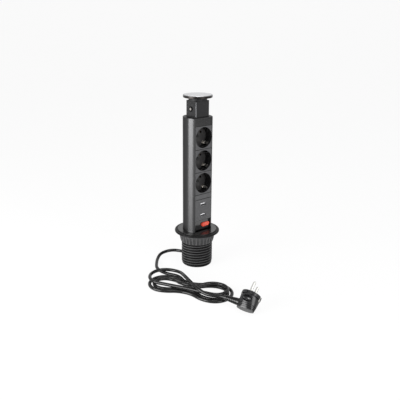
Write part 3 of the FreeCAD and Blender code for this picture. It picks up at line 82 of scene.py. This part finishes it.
def new_material(name, color, roughness, metallic=0.0, ior=1.5):
    material = bpy.data.materials.new(name)
    material.use_nodes = True
    shader = principled(material)
    shader.inputs["Base Color"].default_value = (*color, 1.0)
    shader.inputs["Roughness"].default_value = roughness
    shader.inputs["Metallic"].default_value = metallic
    shader.inputs["IOR"].default_value = ior
    return material


def add_node(material, kind, **values):
    """A new shader node, with its inputs and settings given by name."""
    node = material.node_tree.nodes.new(kind)
    for key, value in values.items():
        if key in node.inputs:
            node.inputs[key].default_value = value
        else:
            setattr(node, key, value)
    return node


def link(material, source, target):
    material.node_tree.links.new(source, target)


def object_noise(material, scale, detail=3.0, roughness=0.5, stretch=(1, 1, 1)):
    """Noise in the row frame, optionally drawn out along an axis."""
    place = add_node(material, "ShaderNodeTexCoord")
    mapping = add_node(material, "ShaderNodeMapping")
    mapping.inputs["Scale"].default_value = stretch
    noise = add_node(material, "ShaderNodeTexNoise", Scale=scale, Detail=detail, Roughness=roughness)
    link(material, place.outputs["Object"], mapping.inputs["Vector"])
    link(material, mapping.outputs["Vector"], noise.inputs["Vector"])
    return noise.outputs["Fac"]


def coordinate(material, axis):
    """The X, Y or Z of a place in the row frame."""
    place = add_node(material, "ShaderNodeTexCoord")
    parts = add_node(material, "ShaderNodeSeparateXYZ")
    link(material, place.outputs["Object"], parts.inputs["Vector"])
    return parts.outputs[axis]


def distance_from_axis(material):
    """How far a place is from the tower's axis."""
    place = add_node(material, "ShaderNodeTexCoord")
    flat = add_node(material, "ShaderNodeVectorMath", operation="MULTIPLY")
    flat.inputs[1].default_value = (1.0, 1.0, 0.0)
    link(material, place.outputs["Object"], flat.inputs[0])
    length = add_node(material, "ShaderNodeVectorMath", operation="LENGTH")
    link(material, flat.outputs["Vector"], length.inputs[0])
    return length.outputs["Value"]


def span(material, value, start, end, first=0.0, last=1.0):
    """A number that goes from first to last as a value goes from start to end, and stays there."""
    node = add_node(material, "ShaderNodeMapRange")
    node.inputs["From Min"].default_value = start
    node.inputs["From Max"].default_value = end
    node.inputs["To Min"].default_value = first
    node.inputs["To Max"].default_value = last
    link(material, value, node.inputs["Value"])
    return node.outputs["Result"]


def fade(material, value, full, gone):
    """A factor that falls from 1 to 0 as a value goes from one limit to the other."""
    return span(material, value, full, gone, 1.0, 0.0)


def math_node(material, operation, first, second):
    """One arithmetic step, whose operands are sockets or numbers."""
    node = add_node(material, "ShaderNodeMath", operation=operation)
    for place, operand in enumerate((first, second)):
        if isinstance(operand, float):
            node.inputs[place].default_value = operand
        else:
            link(material, operand, node.inputs[place])
    return node.outputs["Value"]


def gap_to(material, value, target):
    """How far a value is from a number, on either side of it."""
    away = math_node(material, "SUBTRACT", value, target)
    return math_node(material, "ABSOLUTE", away, 0.0)


def vary_roughness(material, factor, limits):
    low, high = limits
    rough = span(material, factor, NOISE_LOW, NOISE_HIGH, low, high)
    link(material, rough, principled(material).inputs["Roughness"])


def vary_color(material, factor, dark, light):
    ramp = add_node(material, "ShaderNodeValToRGB")
    start, end = ramp.color_ramp.elements
    start.position = NOISE_LOW
    start.color = (*dark, 1)
    end.position = NOISE_HIGH
    end.color = (*light, 1)
    link(material, factor, ramp.inputs["Fac"])
    link(material, ramp.outputs["Color"], principled(material).inputs["Base Color"])


def bump(material, factor, strength, distance):
    node = add_node(material, "ShaderNodeBump")
    node.inputs["Strength"].default_value = strength
    node.inputs["Distance"].default_value = distance
    link(material, factor, node.inputs["Height"])
    link(material, node.outputs["Normal"], principled(material).inputs["Normal"])


def blend_into(material, factor, color, roughness):
    """Mix a second colour and roughness over what a shader already has."""
    inputs = principled(material).inputs
    hue = add_node(material, "ShaderNodeMix", data_type="RGBA")
    link(material, factor, hue.inputs["Factor"])
    link(material, inputs["Base Color"].links[0].from_socket, hue.inputs["A"])
    hue.inputs["B"].default_value = (*color, 1.0)
    link(material, hue.outputs["Result"], inputs["Base Color"])
    gloss = add_node(material, "ShaderNodeMix", data_type="FLOAT")
    link(material, factor, gloss.inputs["Factor"])
    link(material, inputs["Roughness"].links[0].from_socket, gloss.inputs["A"])
    gloss.inputs["B"].default_value = roughness
    link(material, gloss.outputs["Result"], inputs["Roughness"])


# Materials, with places in metres

MOTTLE_SCALE = 35.0
GLOSS_SCALE = 120.0
MARK_SCALE = 260.0
GRAIN_STRENGTH = 0.35
MARK_STRENGTH = 0.25
FINE_DEPTH = 0.00001
POLISHED_DEPTH = 0.000004
FACE = 0.0178
PLATE_ROUGHNESS = (0.3, 0.42)
PLATES = ("usb_faceplate", "filler_strip", "socket_lower", "socket_middle", "socket_upper", "top_plate")
SEAM_SHADE_HALF = 0.00035
SEAM_SHADE_EDGE = 0.0005
RECESS_MOUTH = (-FACE + 0.0002, -FACE + 0.0006)
RECESS_FLOOR = (-0.0015, -0.0007)
NUT_TAPER = 0.003
NUT_RIBS = (0.03095, 0.03135)
THREAD_CRESTS = (0.02958, 0.0297)
FLANGE_START = (0.0303, 0.0307)
CORNER_HIGHLIGHT_DEPTH = 0.0008
CORNER_HIGHLIGHT_EDGE = 0.0002
NECK_SHADE = (0.001, 0.002)
RIM_UNDERSIDE = (0.0011, 0.0003)


def ends(name, axis):
    """The lowest and highest coordinate of a CAD piece along one axis."""
    piece = nodes[name]
    values = [(piece.matrix_world @ Vector(corner))[axis] for corner in piece.bound_box]
    return min(values), max(values)


def plastic(name, dark, light, rough, grain=900.0, depth=0.00004, ior=1.45):
    """Moulded plastic: slight mottle, a varied gloss and a fine grain."""
    material = new_material(name, dark, rough[0], ior=ior)
    vary_color(material, object_noise(material, MOTTLE_SCALE, detail=2.0), dark, light)
    vary_roughness(material, object_noise(material, GLOSS_SCALE), rough)
    bump(material, object_noise(material, grain, detail=2.0), GRAIN_STRENGTH, depth)
    return material


def metal(name, dark, light, rough, stretch=(1, 1, 1), depth=FINE_DEPTH):
    """Drawn or plated metal, with fine marks along one direction."""
    material = new_material(name, dark, rough[0], metallic=1.0)
    marks = object_noise(material, MARK_SCALE, detail=4.0, stretch=stretch)
    vary_color(material, marks, dark, light)
    vary_roughness(material, marks, rough)
    bump(material, marks, MARK_STRENGTH, depth)
    return material


def paint_seam_shade(material):
    """Painted shade: dark lines where the front plates meet one above the other, standing in for the
    shade in the gaps between them.
    """
    level = coordinate(material, "Z")
    nearest = None
    for plate in PLATES:
        for end in ends(plate, 2):
            gap = gap_to(material, level, end)
            nearest = gap if nearest is None else math_node(material, "MINIMUM", nearest, gap)
    # painted shade: the plates' colour turns nearly black within half a millimetre of each seam
    line = fade(material, nearest, SEAM_SHADE_HALF, SEAM_SHADE_EDGE)
    blend_into(material, line, (0.004, 0.004, 0.004), 0.6)


def socket_material():
    """A satin front plate round a glossy recess, painted nearly black as painted shade, with its floor
    painted paler as painted light.
    """
    material = plastic("socket_black", (0.058, 0.058, 0.061), (0.072, 0.072, 0.075), PLATE_ROUGHNESS,
                       depth=FINE_DEPTH, ior=1.4)
    inside = span(material, coordinate(material, "Y"), *RECESS_MOUTH)
    # painted shade: the recess darkened to nearly black
    blend_into(material, inside, (0.006, 0.006, 0.0065), 0.2)
    bottom = span(material, coordinate(material, "Y"), *RECESS_FLOOR)
    # painted light: the recess floor made paler, as where light reaches it
    blend_into(material, bottom, (0.032, 0.031, 0.031), 0.3)
    paint_seam_shade(material)
    return material


def plate_material(name, dark, light):
    material = plastic(name, dark, light, PLATE_ROUGHNESS, depth=FINE_DEPTH, ior=1.4)
    paint_seam_shade(material)
    return material


def nut_material():
    """Grey moulded ribs on a nut that narrows downwards, with the ground between them painted darker as
    painted shade.
    """
    material = plastic("nut_grey", (0.016, 0.016, 0.0165), (0.024, 0.024, 0.0245), (0.45, 0.55))
    low, high = ends("clamp_nut", 2)
    rise = math_node(material, "SUBTRACT", coordinate(material, "Z"), low)
    widening = math_node(material, "MULTIPLY", rise, NUT_TAPER / (high - low))
    proud = math_node(material, "SUBTRACT", distance_from_axis(material), widening)
    # painted shade: only the proud ribs get the nut's grey, the ground between them stays dark
    blend_into(material, span(material, proud, *NUT_RIBS), (0.06, 0.06, 0.061), 0.4)
    return material


def sleeve_material():
    """Satin black plastic, painted pale on the thread's crests as painted light, the roots left black as
    painted shade, and smoother on the flange.
    """
    material = plastic("sleeve_black", (0.002, 0.002, 0.002), (0.004, 0.004, 0.004), (0.32, 0.4), ior=1.3)
    principled(material).inputs["Specular IOR Level"].default_value = 0.15
    # painted light: the thread's crests painted pale, so the roots read as painted shade
    crest = span(material, distance_from_axis(material), *THREAD_CRESTS)
    blend_into(material, crest, (0.06, 0.06, 0.061), 0.35)
    flange = span(material, distance_from_axis(material), *FLANGE_START)
    blend_into(material, flange, (0.01, 0.01, 0.0103), 0.3)
    return material


def case_material():
    """Anodised aluminium, whose fine turned finish spreads a reflection up and down."""
    material = metal("case_anodised", (0.056, 0.056, 0.057), (0.066, 0.066, 0.067), (0.3, 0.36),
                     stretch=(1, 1, 0.04))
    inputs = principled(material).inputs
    inputs["Specular Tint"].default_value = (0.5, 0.5, 0.5, 1.0)
    inputs["Anisotropic"].default_value = 0.85
    inputs["Anisotropic Rotation"].default_value = 0.25
    return material


def neck_material():
    """Glossy block with painted highlights along its upright corners, and painted shade where it meets
    the cap and under the lid.
    """
    material = plastic("neck_black", (0.01, 0.01, 0.0105), (0.014, 0.014, 0.0145), (0.14, 0.2),
                       depth=FINE_DEPTH, ior=1.36)
    corner = None
    for place, axis in enumerate("XY"):
        low, high = ends("neck_block", place)
        away = gap_to(material, coordinate(material, axis), (low + high) / 2)
        proud = math_node(material, "SUBTRACT", away, (high - low) / 2 - CORNER_HIGHLIGHT_DEPTH)
        corner = proud if corner is None else math_node(material, "MINIMUM", corner, proud)
    # painted highlight: a pale line along each upright corner
    blend_into(material, fade(material, corner, CORNER_HIGHLIGHT_EDGE, 0.0), (0.3, 0.3, 0.31), 0.2)
    # painted shade: darkened where the block meets the cap and under the lid
    for level in (ends("top_end_cap", 2)[1], ends("neck_block", 2)[1]):
        gap = gap_to(material, coordinate(material, "Z"), level)
        blend_into(material, fade(material, gap, *NECK_SHADE), (0.001, 0.001, 0.001), 0.6)
    return material


def lid_rim_material():
    """Polished rim: bright along its upper edge and painted dark below, a painted reflection, as chrome
    shows a dark room.
    """
    material = metal("lid_rim_silver", (0.3, 0.3, 0.31), (0.38, 0.38, 0.39), (0.34, 0.42),
                     depth=POLISHED_DEPTH)
    top = ends("lid_rim", 2)[1]
    limits = [top - drop for drop in RIM_UNDERSIDE]
    under = fade(material, coordinate(material, "Z"), *limits)
    # painted reflection: the rim darkened below its upper edge
    blend_into(material, under, (0.02, 0.018, 0.017), 0.3)
    return material


def rocker_glow_material():
    """The rocker's translucent red, with a faint painted glow."""
    material = new_material("rocker_red", (0.6, 0.06, 0.035), 0.2)
    glow = object_noise(material, 90.0, detail=1.0)
    vary_color(material, glow, (0.5, 0.045, 0.025), (0.68, 0.09, 0.05))
    inputs = principled(material).inputs
    inputs["Subsurface Weight"].default_value = 0.15
    inputs["Subsurface Radius"].default_value = (0.004, 0.0006, 0.0006)
    # painted glow: the rocker glows faintly, though no lamp lights it
    inputs["Emission Color"].default_value = (1.0, 0.09, 0.05, 1.0)
    inputs["Emission Strength"].default_value = 0.14
    return material


def make_materials():
    return {
        "case": case_material(),
        "moulded": plastic("moulded_black", (0.004, 0.004, 0.0045), (0.007, 0.007, 0.0075), (0.5, 0.6),
                           ior=1.32),
        "sleeve": sleeve_material(),
        "nut": nut_material(),
        "flange": plastic("flange_gloss", (0.002, 0.002, 0.002), (0.004, 0.004, 0.004), (0.26, 0.32),
                          depth=FINE_DEPTH, ior=1.75),
        "gloss": plate_material("module_gloss", (0.066, 0.066, 0.069), (0.08, 0.08, 0.083)),
        "top": plastic("top_plate_gloss", (0.014, 0.014, 0.0145), (0.02, 0.02, 0.0205), (0.22, 0.32),
                       depth=FINE_DEPTH, ior=1.38),
        "clip": metal("clip_steel", (0.36, 0.34, 0.32), (0.5, 0.48, 0.45), (0.2, 0.3)),
        "dark_steel": metal("dark_steel", (0.03, 0.03, 0.03), (0.05, 0.05, 0.05), (0.5, 0.6)),
        "neck": neck_material(),
        "bush": plastic("bush_black", (0.001, 0.001, 0.001), (0.002, 0.002, 0.002), (0.6, 0.7), ior=1.15),
        "rim": lid_rim_material(),
        "switch": plastic("switch_black", (0.002, 0.002, 0.0025), (0.004, 0.004, 0.0045), (0.08, 0.14),
                          depth=POLISHED_DEPTH, ior=1.9),
        "socket": socket_material(),
        "lid_top": metal("lid_top_silver", (0.55, 0.55, 0.56), (0.68, 0.68, 0.69), (0.34, 0.46),
                         stretch=(0.06, 1, 1), depth=0.000006),
        "plated": metal("plated_contact", (0.45, 0.45, 0.43), (0.62, 0.61, 0.58), (0.24, 0.36)),
        "steel": metal("zinc_steel", (0.45, 0.45, 0.46), (0.6, 0.6, 0.61), (0.25, 0.4)),
        "brass": metal("bare_brass", (0.55, 0.38, 0.14), (0.72, 0.52, 0.24), (0.25, 0.4)),
        "rubber": plastic("black_rubber", (0.004, 0.004, 0.004), (0.008, 0.008, 0.008), (0.6, 0.75),
                          ior=1.3),
        "jacket": plastic("cord_jacket", (0.002, 0.002, 0.002), (0.004, 0.004, 0.004), (0.18, 0.24),
                          grain=400.0, depth=POLISHED_DEPTH, ior=1.34),
        "plug": plastic("plug_black", (0.004, 0.004, 0.0045), (0.007, 0.007, 0.0075), (0.2, 0.28),
                        depth=FINE_DEPTH, ior=1.4),
        "usb": plastic("usb_tongue", (0.7, 0.7, 0.72), (0.8, 0.8, 0.82), (0.3, 0.4)),
        "board": plastic("board_green", (0.01, 0.08, 0.03), (0.02, 0.13, 0.05), (0.35, 0.5)),
        "lens": rocker_glow_material(),
    }


NODE_FINISH = {
    "mounting_sleeve": "sleeve", "guide_collar": "flange", "flange_gasket": "rubber",
    "clamp_washer": "rubber", "clamp_nut": "nut", "tower_shell": "case",
    "bottom_end_cap": "moulded", "end_cap_screws": "steel", "top_end_cap": "case",
    "neck_block": "neck", "button_bush": "bush", "release_button": "clip",
    "button_spring": "steel", "spring_seat": "moulded", "lid_rim": "rim", "lid_disc": "lid_top",
    "lid_stem": "moulded", "lid_screw": "steel", "top_plate": "top", "filler_strip": "gloss",
    "usb_faceplate": "gloss", "usb_port_lower": "steel", "usb_port_upper": "steel",
    "usb_tongue_lower": "usb", "usb_tongue_upper": "usb", "usb_circuit_board": "board",
    "switch_panel": "switch", "switch_housing": "moulded", "switch_terminals": "brass",
    "rocker_pin": "steel", "rocker": "lens", "live_busbar": "brass", "neutral_busbar": "brass",
    "earth_busbar": "brass", "socket_screws": "dark_steel", "cord_clamp": "moulded",
    "lead_boot": "jacket", "plug_body": "plug", "plug_pins": "plated",
    "plug_strain_relief": "jacket", "plug_earth_strips": "plated",
}
for level in ("lower", "middle", "upper"):
    NODE_FINISH[f"socket_{level}"] = "socket"
    NODE_FINISH[f"earth_clips_{level}"] = "clip"
    NODE_FINISH[f"contact_carrier_{level}"] = "moulded"


# Meshes

SHARP_ANGLE = math.radians(32.0)


def paint(piece, material):
    piece.data.materials.clear()
    piece.data.materials.append(material)


def smooth_by_angle(piece):
    """Shade a mesh smooth, with its sharp edges kept sharp."""
    mesh = piece.data
    for polygon in mesh.polygons:
        polygon.use_smooth = True
    work = bmesh.new()
    work.from_mesh(mesh)
    for edge in work.edges:
        if len(edge.link_faces) == 2:
            edge.smooth = edge.calc_face_angle(0.0) < SHARP_ANGLE
        else:
            edge.smooth = False
    work.to_mesh(mesh)
    work.free()


def link_mesh(name, vertices, faces, material, body):
    """A new piece with its faces turned outwards, which rides on a body."""
    mesh = bpy.data.meshes.new(name)
    mesh.from_pydata(vertices, [], faces)
    mesh.validate()
    mesh.update()
    piece = bpy.data.objects.new(name, mesh)
    scene.collection.objects.link(piece)
    paint(piece, material)
    work = bmesh.new()
    work.from_mesh(mesh)
    bmesh.ops.recalc_face_normals(work, faces=work.faces)
    work.to_mesh(mesh)
    work.free()
    smooth_by_angle(piece)
    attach(piece, body)
    return piece


# Sleeve with its true helical thread, in millimetres

BORE = 27.6
BORE_MIDDLE = 12.0
ROOT = 28.85
CREST = 29.7
PITCH = 5.2
THREAD_LOW = 2.2
THREAD_HIGH = 66.2
THREAD_SLOPE = 0.5
THREAD_RUN_IN = 1.6
RIDGE_START = 0.14
RIDGE_END = 0.94
RIDGE_FLANK = 0.3
FOOT_CHAMFER = 1.2
FOOT_INSET = 0.7
FLANGE = 42.8
SLEEVE_TOP = 69.4
SEGMENTS = 180
ROWS_PER_MM = 3.2
LOWER_EDGE = ((0.5, 0.0), (0.12, 0.12), (0.0, 0.5))
UPPER_EDGE = ((0.0, 1.5), (0.12, 0.9), (0.45, 0.4), (0.9, 0.1), (1.5, 0.0))
SLOT_OUTLINE = ((-15, -2), (-3, -2), (-3, 16), (-6, 19), (-12, 19), (-15, 16))
SLOT_NEAR = 15.0
SLOT_FAR = 50.0


def thread_radius(z, turn):
    """The barrel's radius at a height and at a fraction of a turn round it."""
    phase = (z / PITCH - turn) % 1.0
    rise = min(max((phase - RIDGE_START) / RIDGE_FLANK, 0.0), 1.0)
    fall = min(max((RIDGE_END - phase) / RIDGE_FLANK, 0.0), 1.0)
    ridge = min(rise, fall)
    ridge = ridge * ridge * (3 - 2 * ridge)
    start = THREAD_LOW + PITCH * THREAD_SLOPE * turn
    run_in = min(max((z - start) / THREAD_RUN_IN, 0.0), 1.0)
    chamfer = min(z / FOOT_CHAMFER, 1.0)
    return ROOT + (CREST - ROOT) * ridge * run_in - FOOT_INSET * (1 - chamfer)


def sleeve_surface():
    """The sleeve's vertices and faces: its profile carried round the axis and closed on itself."""
    rows = int(THREAD_HIGH * ROWS_PER_MM)
    edge = [(FLANGE - inset, THREAD_HIGH + rise) for inset, rise in LOWER_EDGE]
    edge += [(FLANGE - inset, SLEEVE_TOP - drop) for inset, drop in UPPER_EDGE]
    edge += [(BORE, SLEEVE_TOP), (BORE, BORE_MIDDLE), (BORE, 0.0)]
    per_column = rows + 1 + len(edge)
    vertices = []
    faces = []
    for column in range(SEGMENTS):
        turn = column / SEGMENTS
        angle = 2 * math.pi * turn
        levels = [THREAD_HIGH * row / rows for row in range(rows + 1)]
        profile = [(thread_radius(z, turn), z) for z in levels]
        for radius, z in profile + edge:
            vertices.append((radius * math.cos(angle) * MM, radius * math.sin(angle) * MM, z * MM))
        here = column * per_column
        there = ((column + 1) % SEGMENTS) * per_column
        for row in range(per_column):
            after = (row + 1) % per_column
            faces.append((here + row, there + row, there + after, here + after))
    return vertices, faces


def make_slot_cutter():
    """A prism in the shape of the slot that lets the cord out at the sleeve's foot."""
    mesh = bpy.data.meshes.new("slot_cutter")
    work = bmesh.new()
    near = [work.verts.new((x * MM, SLOT_NEAR * MM, z * MM)) for x, z in SLOT_OUTLINE]
    far = [work.verts.new((x * MM, SLOT_FAR * MM, z * MM)) for x, z in SLOT_OUTLINE]
    work.faces.new(near)
    work.faces.new(list(reversed(far)))
    for index in range(len(SLOT_OUTLINE)):
        after = (index + 1) % len(SLOT_OUTLINE)
        work.faces.new((near[index], far[index], far[after], near[after]))
    bmesh.ops.recalc_face_normals(work, faces=work.faces)
    work.to_mesh(mesh)
    work.free()
    cutter = bpy.data.objects.new("slot_cutter", mesh)
    scene.collection.objects.link(cutter)
    return cutter


def make_sleeve(material):
    vertices, faces = sleeve_surface()
    sleeve = link_mesh("sleeve_threaded", vertices, faces, material, "sleeve")
    cutter = make_slot_cutter()
    modifier = sleeve.modifiers.new("slot", "BOOLEAN")
    modifier.operation = "DIFFERENCE"
    modifier.solver = "EXACT"
    modifier.object = cutter
    bpy.context.view_layer.update()
    graph = bpy.context.evaluated_depsgraph_get()
    result = bpy.data.meshes.new_from_object(sleeve.evaluated_get(graph))
    sleeve.modifiers.clear()
    sleeve.data = result
    smooth_by_angle(sleeve)
    bpy.data.objects.remove(cutter)
    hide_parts("mounting_sleeve")


# The mains cord, in millimetres: the nodes and directions of the CAD source's route, but for the lead's

CORD_RADIUS = 3.1
CORD_STEPS = 10
CORD_ROUNDNESS = 6
CORD_EXIT = (-9.0, 25.0, 12.5)
FLOOR_LEVEL = 3.1
LAP_LEVEL = 10.0
HANK_MIDDLE = Vector((-88.0, -80.0, 0.0))
HANK_ALONG = Vector((0.479, -0.878, 0.0)).normalized()
HANK_ACROSS = Vector((0.878, 0.479, 0.0)).normalized()
HANK_START = 36.6
FAR_LOBE = -45.0
FAR_RADIUS = 27.0
FAR_STEP = 8.3
NEAR_LOBE = 50.0
NEAR_RADIUS = 30.5
NEAR_STEP = 7.4
WAIST = 17.4
WAIST_STEP = 9.7
LAST_WAIST = (-1.6, -14.5)
LAST_NEAR_LOBE = (52.0, 2.0, 20.0)
LAST_FAR_LOBE = (-50.0, 13.6, 28.0)
PLUG_FACE = Vector((-46.5, -197.0, 24.966))
PLUG_TILT = math.radians(38.0)
PLUG_HEADING = math.radians(16.0)
RELIEF_DEPTH = 19.5
RELIEF_REACH = 43.5

# The lead's places and directions, laid along the photographed arch
LEAD = (
    ((-15.0, 46.0, 11.6), (-0.6, 0.8, 0.0)),
    ((-38.0, 58.0, 9.8), (-0.97, 0.0, -0.1)),
    ((-68.0, 40.5, 4.0), (-0.64, -0.76, -0.04)),
    ((-84.0, 14.0, 3.1), (-0.2, -0.98, 0.0)),
)

# The tail's, counted along the hank, across it and upwards
TAIL = (
    ((0.0, 3.5, 17.0), (0.72, -0.69, 0.0)),
    ((25.0, -18.5, 16.6), (0.84, -0.52, -0.12)),
    ((47.0, -25.8, 12.6), (0.99, -0.06, -0.04)),
)


def hank_point(along, across, level):
    return HANK_MIDDLE + HANK_ALONG * along + HANK_ACROSS * across + Vector((0, 0, level))


def hank_way(along, across, climb=0.0):
    return (HANK_ALONG * along + HANK_ACROSS * across + Vector((0, 0, climb))).normalized()


def lobe(centre, offset, radius, level, sign):
    """Half a turn round one end of the hank."""
    return [
        (hank_point(centre, offset + sign * radius, level), hank_way(sign, 0)),
        (hank_point(centre + sign * radius, offset, level), hank_way(0, -sign)),
        (hank_point(centre, offset - sign * radius, level), hank_way(-sign, 0)),
    ]


def hank_nodes():
    """Two laps on the floor, the second inside the first, and a third on top of them."""
    found = [(hank_point(FAR_LOBE, HANK_START, FLOOR_LEVEL), hank_way(1, 0))]
    for turn in range(2):
        waist = WAIST - WAIST_STEP * turn
        found.append((hank_point(0, waist, FLOOR_LEVEL), hank_way(1, 0)))
        found += lobe(NEAR_LOBE, 0, NEAR_RADIUS - NEAR_STEP * turn, FLOOR_LEVEL, 1)
        found.append((hank_point(0, -waist, FLOOR_LEVEL), hank_way(-1, 0)))
        found += lobe(FAR_LOBE, 0, FAR_RADIUS - FAR_STEP * turn, FLOOR_LEVEL, -1)
    outward, homeward = LAST_WAIST
    found.append((hank_point(0, outward, LAP_LEVEL), hank_way(1, 0)))
    found += lobe(*LAST_NEAR_LOBE, LAP_LEVEL, 1)
    found.append((hank_point(0, homeward, LAP_LEVEL), hank_way(-1, 0)))
    found += lobe(*LAST_FAR_LOBE, LAP_LEVEL, -1)
    return found


def plug_axes():
    """The directions of the plug's cord and of its pins."""
    flat = Vector((math.cos(PLUG_HEADING), math.sin(PLUG_HEADING), 0))
    pins = flat * math.cos(PLUG_TILT) + Vector((0, 0, 1)) * math.sin(PLUG_TILT)
    lead = Vector((0, 0, 1)).cross(flat)
    return lead, pins


def cord_nodes():
    """Every place that the cord passes through, with its direction there."""
    lead, pins = plug_axes()
    plug_end = PLUG_FACE - pins * RELIEF_DEPTH + lead * RELIEF_REACH
    return [
        (Vector(CORD_EXIT), Vector((0, 1, 0))),
        *[(Vector(place), Vector(way).normalized()) for place, way in LEAD],
        *hank_nodes(),
        *[(hank_point(*place), hank_way(*way)) for place, way in TAIL],
        (plug_end, -lead),
    ]


def control_points(route):
    """The corners where the directions of neighbouring nodes meet: the spline's own points."""
    corners = [route[0][0]]
    for (start, start_way), (end, end_way) in zip(route, route[1:]):
        gap = end - start
        total = start_way + end_way
        square = 2 * (1 - start_way.dot(end_way))
        linear = 2 * gap.dot(total)
        if square < 1e-9:
            reach = gap.dot(gap) / linear
        else:
            reach = (-linear + math.sqrt(linear * linear + 4 * square * gap.dot(gap))) / (2 * square)
        corners += [start + start_way * reach, end - end_way * reach]
    corners.append(route[-1][0])
    return corners


def make_cord(material):
    points = control_points(cord_nodes())
    curve = bpy.data.curves.new("mains_cord", "CURVE")
    curve.dimensions = "3D"
    curve.resolution_u = CORD_STEPS
    curve.bevel_depth = CORD_RADIUS * MM
    curve.bevel_resolution = CORD_ROUNDNESS
    curve.use_fill_caps = True
    spline = curve.splines.new("NURBS")
    spline.points.add(len(points) - 1)
    for target, place in zip(spline.points, points):
        target.co = (*(place * MM), 1.0)
    spline.order_u = 3
    spline.use_endpoint_u = True
    cord = bpy.data.objects.new("mains_cord", curve)
    scene.collection.objects.link(cord)
    curve.materials.append(material)
    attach(cord, "tower")
    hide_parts("cord_lead", "cord_hank", "cord_tail")


# Floor and light, in metres

FLOOR_REACH = 5.0
FLOOR_GLOW = 0.92
WALL_START = 2.6
WALL_BEND = 1.2
WALL_STEPS = 12
WALL_HEIGHT = 4.0
OBJECT_MIDDLE = 0.16
OVERHEAD = 1.5
WORLD_LIGHT = 0.3
WHITE = (1.0, 1.0, 1.0, 1.0)

# Each panel's name, bearing from the camera in degrees to its right, distance, level, width, height
# and radiance
PANELS = (
    ("key_left", -53.0, 1.1, 0.32, 0.76, 0.64, 13.0),
    ("front_soft", 38.0, 1.1, 0.45, 0.6, 0.6, 6.0),
    ("top_soft", 10.0, 0.25, 1.9, 0.7, 0.7, 5.6),
)


def larger_of(tree, first, second):
    node = tree.nodes.new("ShaderNodeMath")
    node.operation = "MAXIMUM"
    tree.links.new(first, node.inputs[0])
    tree.links.new(second, node.inputs[1])
    return node.outputs[0]


def seen_white(tree, light, dark):
    """Mix two shaders by whether a ray comes straight from the camera, a gloss or a clear surface."""
    path = tree.nodes.new("ShaderNodeLightPath")
    either = larger_of(tree, path.outputs["Is Camera Ray"], path.outputs["Is Glossy Ray"])
    any_of_three = larger_of(tree, either, path.outputs["Is Transmission Ray"])
    mix = tree.nodes.new("ShaderNodeMixShader")
    tree.links.new(any_of_three, mix.inputs["Fac"])
    tree.links.new(dark, mix.inputs[1])
    tree.links.new(light, mix.inputs[2])
    return mix.outputs["Shader"]


def floor_material():
    """Pale and matt, and near white where it is seen, so that it keeps only a soft shadow."""
    material = new_material("pale_floor", (0.95, 0.95, 0.95), 0.6)
    tree = material.node_tree
    vary_roughness(material, object_noise(material, 3.0), (0.55, 0.65))
    glow = tree.nodes.new("ShaderNodeEmission")
    glow.inputs["Strength"].default_value = 1.0
    lit = tree.nodes.new("ShaderNodeMixShader")
    lit.inputs["Fac"].default_value = FLOOR_GLOW
    matt = principled(material).outputs["BSDF"]
    tree.links.new(matt, lit.inputs[1])
    tree.links.new(glow.outputs["Emission"], lit.inputs[2])
    surface = seen_white(tree, lit.outputs["Shader"], matt)
    tree.links.new(surface, tree.nodes["Material Output"].inputs["Surface"])
    return material


def make_stage():
    """A floor that bends up into a wall far behind the object."""
    profile = [(-FLOOR_REACH, 0.0), (WALL_START, 0.0)]
    for step in range(1, WALL_STEPS + 1):
        angle = math.pi / 2 * step / WALL_STEPS
        profile.append((WALL_START + WALL_BEND * math.sin(angle), WALL_BEND * (1 - math.cos(angle))))
    profile.append((WALL_START + WALL_BEND, WALL_HEIGHT))
    vertices = []
    for along, z in profile:
        vertices += [(-FLOOR_REACH, along, z), (FLOOR_REACH, along, z)]
    faces = [(2 * i, 2 * i + 1, 2 * i + 3, 2 * i + 2) for i in range(len(profile) - 1)]
    mesh = bpy.data.meshes.new("floor_sweep")
    mesh.from_pydata(vertices, [], faces)
    mesh.update()
    floor = bpy.data.objects.new("floor_sweep", mesh)
    floor.rotation_euler = (0, 0, CAMERA_HEADING)
    floor.data.materials.append(floor_material())
    for polygon in mesh.polygons:
        polygon.use_smooth = True
    scene.collection.objects.link(floor)


def soft_panel(name, bearing, distance, level, width, height, radiance):
    """A soft light panel that faces the object's middle, or its foot from overhead."""
    angle = CAMERA_HEADING - math.pi / 2 + math.radians(bearing)
    place = Vector((distance * math.cos(angle), distance * math.sin(angle), level))
    data = bpy.data.lights.new(name, "AREA")
    data.energy = radiance * math.pi * width * height
    data.shape = "RECTANGLE"
    data.size = width
    data.size_y = height
    panel = bpy.data.objects.new(name, data)
    way = Vector((0, 0, OBJECT_MIDDLE if level < OVERHEAD else 0.0)) - place
    panel.matrix_world = Matrix.Translation(place) @ way.to_track_quat("-Z", "Y").to_matrix().to_4x4()
    panel.visible_camera = False
    scene.collection.objects.link(panel)


def make_light():
    world = bpy.data.worlds.new("studio")
    world.use_nodes = True
    tree = world.node_tree
    dim = tree.nodes["Background"]
    dim.inputs["Color"].default_value = WHITE
    dim.inputs["Strength"].default_value = WORLD_LIGHT
    white = tree.nodes.new("ShaderNodeBackground")
    white.inputs["Color"].default_value = WHITE
    white.inputs["Strength"].default_value = 1.0
    surface = seen_white(tree, white.outputs["Background"], dim.outputs["Background"])
    tree.links.new(surface, tree.nodes["World Output"].inputs["Surface"])
    scene.world = world
    for panel in PANELS:
        soft_panel(*panel)
    scene.view_settings.view_transform = "Standard"


make_camera()
finish = make_materials()
for name, piece in nodes.items():
    if name in NODE_FINISH:
        paint(piece, finish[NODE_FINISH[name]])
        smooth_by_angle(piece)
make_sleeve(finish["sleeve"])
make_cord(finish["jacket"])
make_stage()
make_light()
